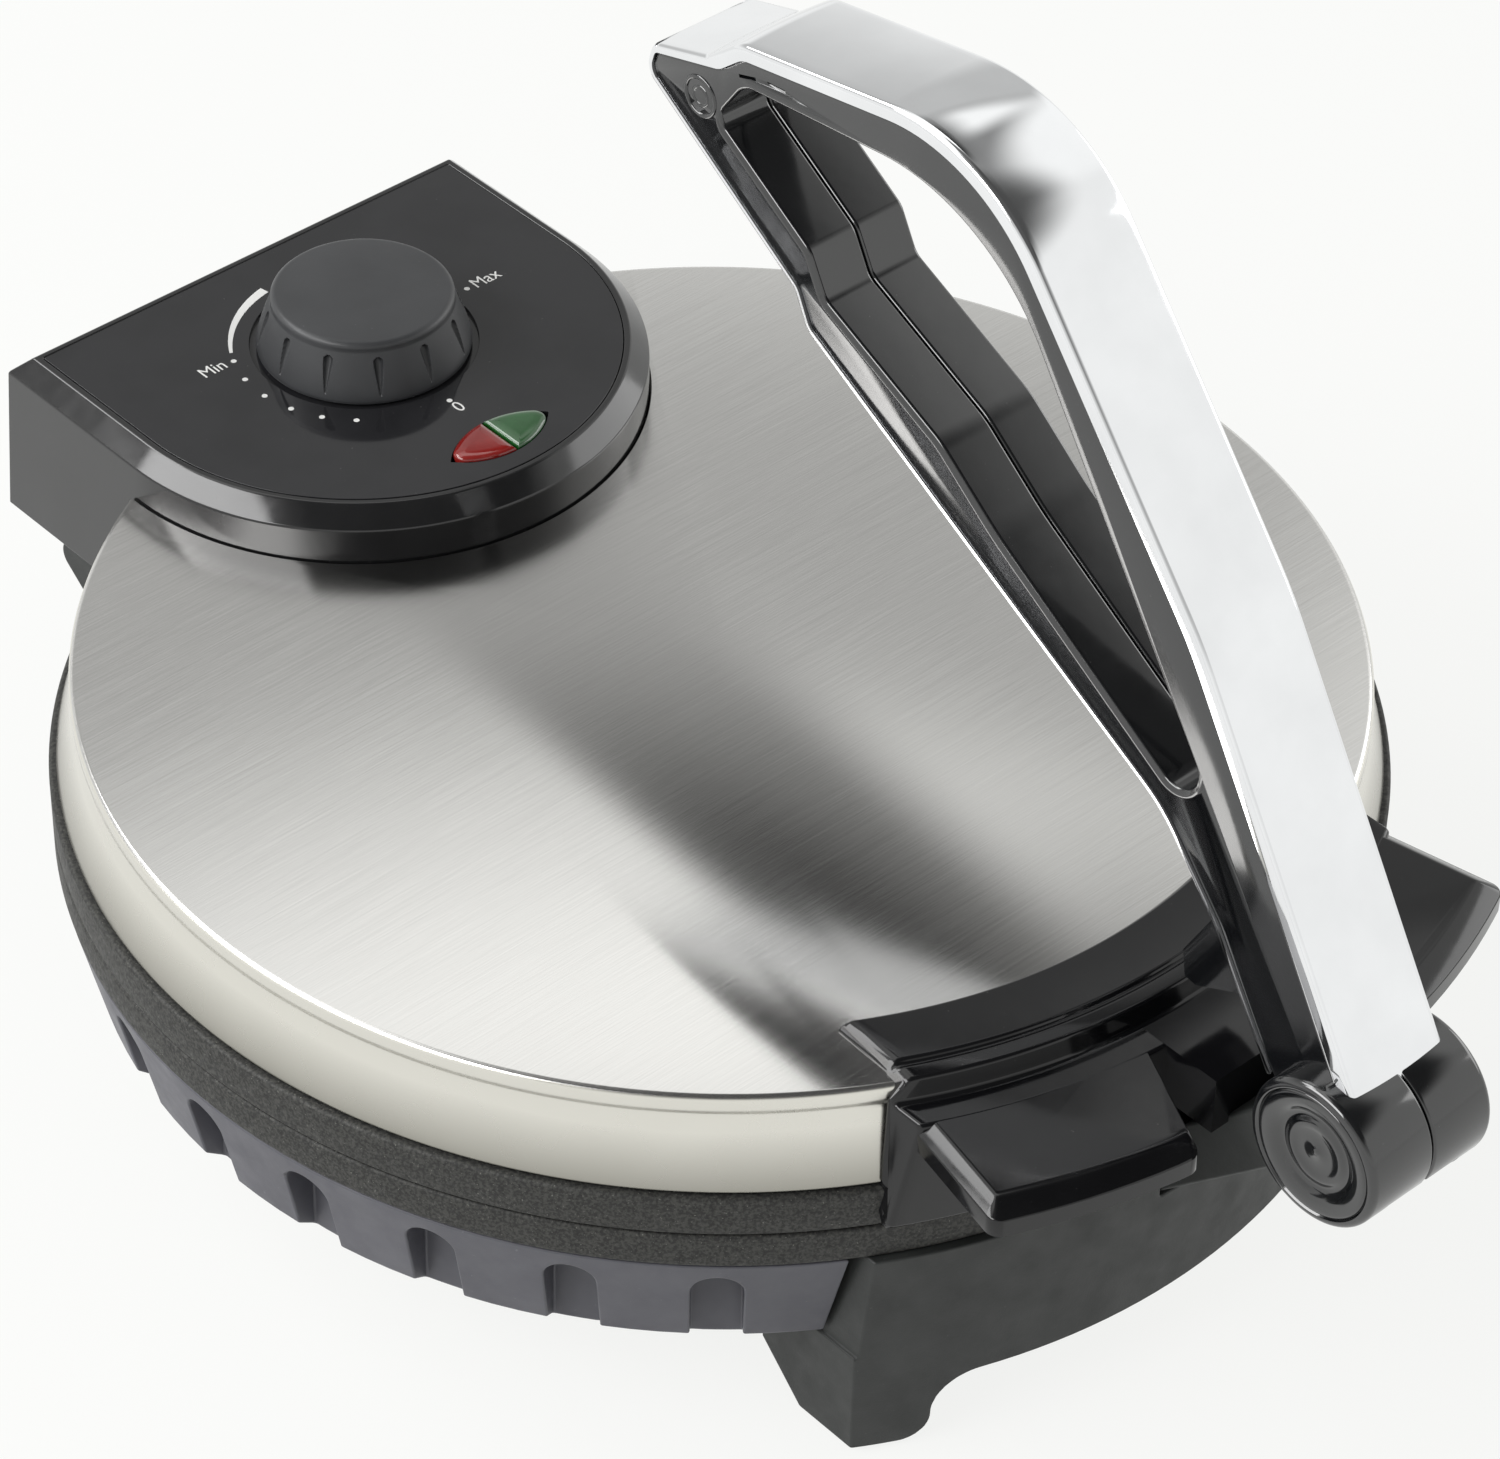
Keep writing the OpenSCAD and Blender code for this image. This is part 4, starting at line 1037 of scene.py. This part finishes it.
def dress_nodes():
    for entry in frame["record"]["subparts"]:
        node = frame["nodes"][entry["node"]]
        node.data.materials.clear()
        node.data.materials.append(LOOKS[entry["material_slot"]])
    # The cam has the finish of the lever that carries it
    cam = frame["nodes"]["press_cam"]
    cam.data.materials.clear()
    cam.data.materials.append(LOOKS["lever_black"])


# Camera, floor and light

CAMERA_PLACE = (-0.56042, -0.59407, 0.77081)
CAMERA_BACK = (-0.5198, -0.5574, 0.6473)
CAMERA_RIGHT = (0.7313, -0.6820, 0)
CAMERA_ROLL = 1.392
FLOOR_SIZE = 12
FLOOR_GLOW = 0.87


def camera():
    """The camera at the photograph's own viewpoint."""
    data = bpy.data.cameras.new("camera")
    data.lens = 129.39
    data.sensor_width = 36
    data.clip_start = 0.01
    obj = bpy.data.objects.new("camera", data)
    bpy.context.scene.collection.objects.link(obj)
    back = Vector(CAMERA_BACK).normalized()
    right = Vector(CAMERA_RIGHT).normalized()
    up = back.cross(right)
    roll = math.radians(CAMERA_ROLL)
    turned_right = math.cos(roll) * right + math.sin(roll) * up
    turned_up = -math.sin(roll) * right + math.cos(roll) * up
    basis = Matrix((turned_right, turned_up, back)).transposed().to_4x4()
    obj.matrix_world = Matrix.Translation(CAMERA_PLACE) @ basis
    bpy.context.scene.camera = obj


def seen_directly(tree):
    """One for camera, glossy and transmission rays, and nothing for the rest."""
    path = tree.nodes.new("ShaderNodeLightPath").outputs
    mirrored = combine(tree, "MAXIMUM", path["Is Camera Ray"], path["Is Glossy Ray"])
    return combine(tree, "MAXIMUM", mirrored, path["Is Transmission Ray"])


def floor():
    """A pale floor that glows towards the camera and still takes the object's shadow."""
    bpy.ops.mesh.primitive_plane_add(size=FLOOR_SIZE, location=(0, 0, -0.0002))
    plane = bpy.context.object
    plane.name = "floor"
    material = bpy.data.materials.new("floor_look")
    material.use_nodes = True
    tree = material.node_tree
    nodes, links = tree.nodes, tree.links
    shader = nodes["Principled BSDF"]
    shader.inputs["Base Color"].default_value = (0.86, 0.86, 0.85, 1)
    shader.inputs["Roughness"].default_value = 0.9
    glow = nodes.new("ShaderNodeEmission")
    glow.inputs["Color"].default_value = (0.985, 0.99, 0.975, 1)
    mix = nodes.new("ShaderNodeMixShader")
    links.new(combine(tree, "MULTIPLY", seen_directly(tree), FLOOR_GLOW), mix.inputs[0])
    links.new(shader.outputs[0], mix.inputs[1])
    links.new(glow.outputs[0], mix.inputs[2])
    links.new(mix.outputs[0], nodes["Material Output"].inputs["Surface"])
    plane.data.materials.append(material)


def towards(azimuth, elevation):
    """A direction from its angle off the rear, clockwise seen from above, and its height."""
    a, e = math.radians(azimuth), math.radians(elevation)
    return Vector((math.sin(a) * math.cos(e), math.cos(a) * math.cos(e), math.sin(e)))


def patch(tree, direction, level, azimuth, elevation, inner, outer, value):
    """Sets level to value within inner degrees of a direction, fading out to outer."""
    facing = tree.nodes.new("ShaderNodeVectorMath")
    facing.operation = "DOT_PRODUCT"
    facing.inputs[1].default_value = towards(azimuth, elevation)
    tree.links.new(direction, facing.inputs[0])
    start, stop = math.cos(math.radians(outer)), math.cos(math.radians(inner))
    return blend(tree, ramp_between(tree, facing.outputs["Value"], start, stop), level, value)


def window(tree, split, level, value, *edges):
    """Sets level to value inside soft straight edges: axis, outer limit and inner limit."""
    share = 1.0
    for axis, outer, inner in edges:
        edge = ramp_between(tree, split.outputs[axis], outer, inner)
        share = combine(tree, "MULTIPLY", edge, share)
    return blend(tree, share, level, value)


# What polished parts see, as azimuth, elevation, inner and outer angle, and brightness
ROOM = [
    (95, 30, 22, 30, 1.1),
    (140, 20, 26, 34, 1.0),
    (165, 62, 22, 34, 0.08),
    (-150, 55, 20, 32, 0.1),
]
GREY_CEILING = 0.58
HIGH_WALL = 0.28
OVERHEAD = 1.1
LEFT_PANEL = (0.45, 1.62)
ZENITH = 0.16
DARK_STRIP = 0.03
DIFFUSE_LEVEL = 0.34


def room_level(tree, direction):
    """The brightness of the room in each direction."""
    split = tree.nodes.new("ShaderNodeSeparateXYZ")
    tree.links.new(direction, split.inputs[0])
    height = split.outputs["Z"]
    panel = ramp_between(tree, height, 0.63, 0.86, *LEFT_PANEL, "LINEAR")
    level = ramp_between(tree, height, 0.1, 0.45, 1.0, GREY_CEILING)
    for value, *edges in (
            (HIGH_WALL, ("Z", 0.62, 0.72)),
            (OVERHEAD, ("X", 0.5, 0.56), ("Y", 0.2, 0.35), ("Z", 0.64, 0.72)),
            (panel, ("X", 0.42, 0.385), ("Y", 0.1, 0.25), ("Z", 0.56, 0.62)),
            (ZENITH, ("Z", 0.92, 0.97)),
            (DARK_STRIP, ("X", 0.388, 0.412), ("X", 0.54, 0.44), ("Y", 0.0, 0.2), ("Z", 0.71, 0.79))):
        level = window(tree, split, level, value, *edges)
    for values in ROOM:
        level = patch(tree, direction, level, *values)
    return level


def studio():
    """A pale room for reflections, white behind, and an even light for the rest."""
    world = bpy.data.worlds.new("studio")
    bpy.context.scene.world = world
    world.use_nodes = True
    tree = world.node_tree
    background = tree.nodes["Background"]
    level = room_level(tree, tree.nodes.new("ShaderNodeTexCoord").outputs["Generated"])
    path = tree.nodes.new("ShaderNodeLightPath")
    straight = blend(tree, path.outputs["Is Camera Ray"], level, 1.0)
    seen = blend(tree, seen_directly(tree), DIFFUSE_LEVEL, straight)
    tree.links.new(seen, background.inputs["Strength"])
    background.inputs["Color"].default_value = (0.99, 0.995, 0.98, 1)


def softbox(name, azimuth, elevation, distance, size, brightness):
    """An area lamp of the given brightness, facing the object."""
    data = bpy.data.lights.new(name, "AREA")
    data.shape = "RECTANGLE"
    data.size, data.size_y = size
    data.energy = brightness * math.pi * size[0] * size[1]
    obj = bpy.data.objects.new(name, data)
    bpy.context.scene.collection.objects.link(obj)
    away = towards(azimuth, elevation)
    obj.location = away * distance + Vector((0, 0, 0.09))
    obj.rotation_euler = (-away).to_track_quat("-Z", "Y").to_euler()


def lamps():
    softbox("left_box", -71, 36, 1.7, (1.6, 0.7), 7.0)
    softbox("rear_box", -25, 43, 1.8, (0.6, 0.6), 6.0)
    softbox("right_box", 108, 20, 1.8, (1.3, 0.9), 2.2)


camera()
dress_nodes()
base_pieces()
plate_pieces()
lid_piece()
bracket_piece()
console_pieces()
lens_pieces()
knob_piece()
print_pieces()
lever_pieces()
floor()
studio()
lamps()
bpy.context.scene.view_settings.view_transform = "Standard"
bpy.context.view_layer.update()
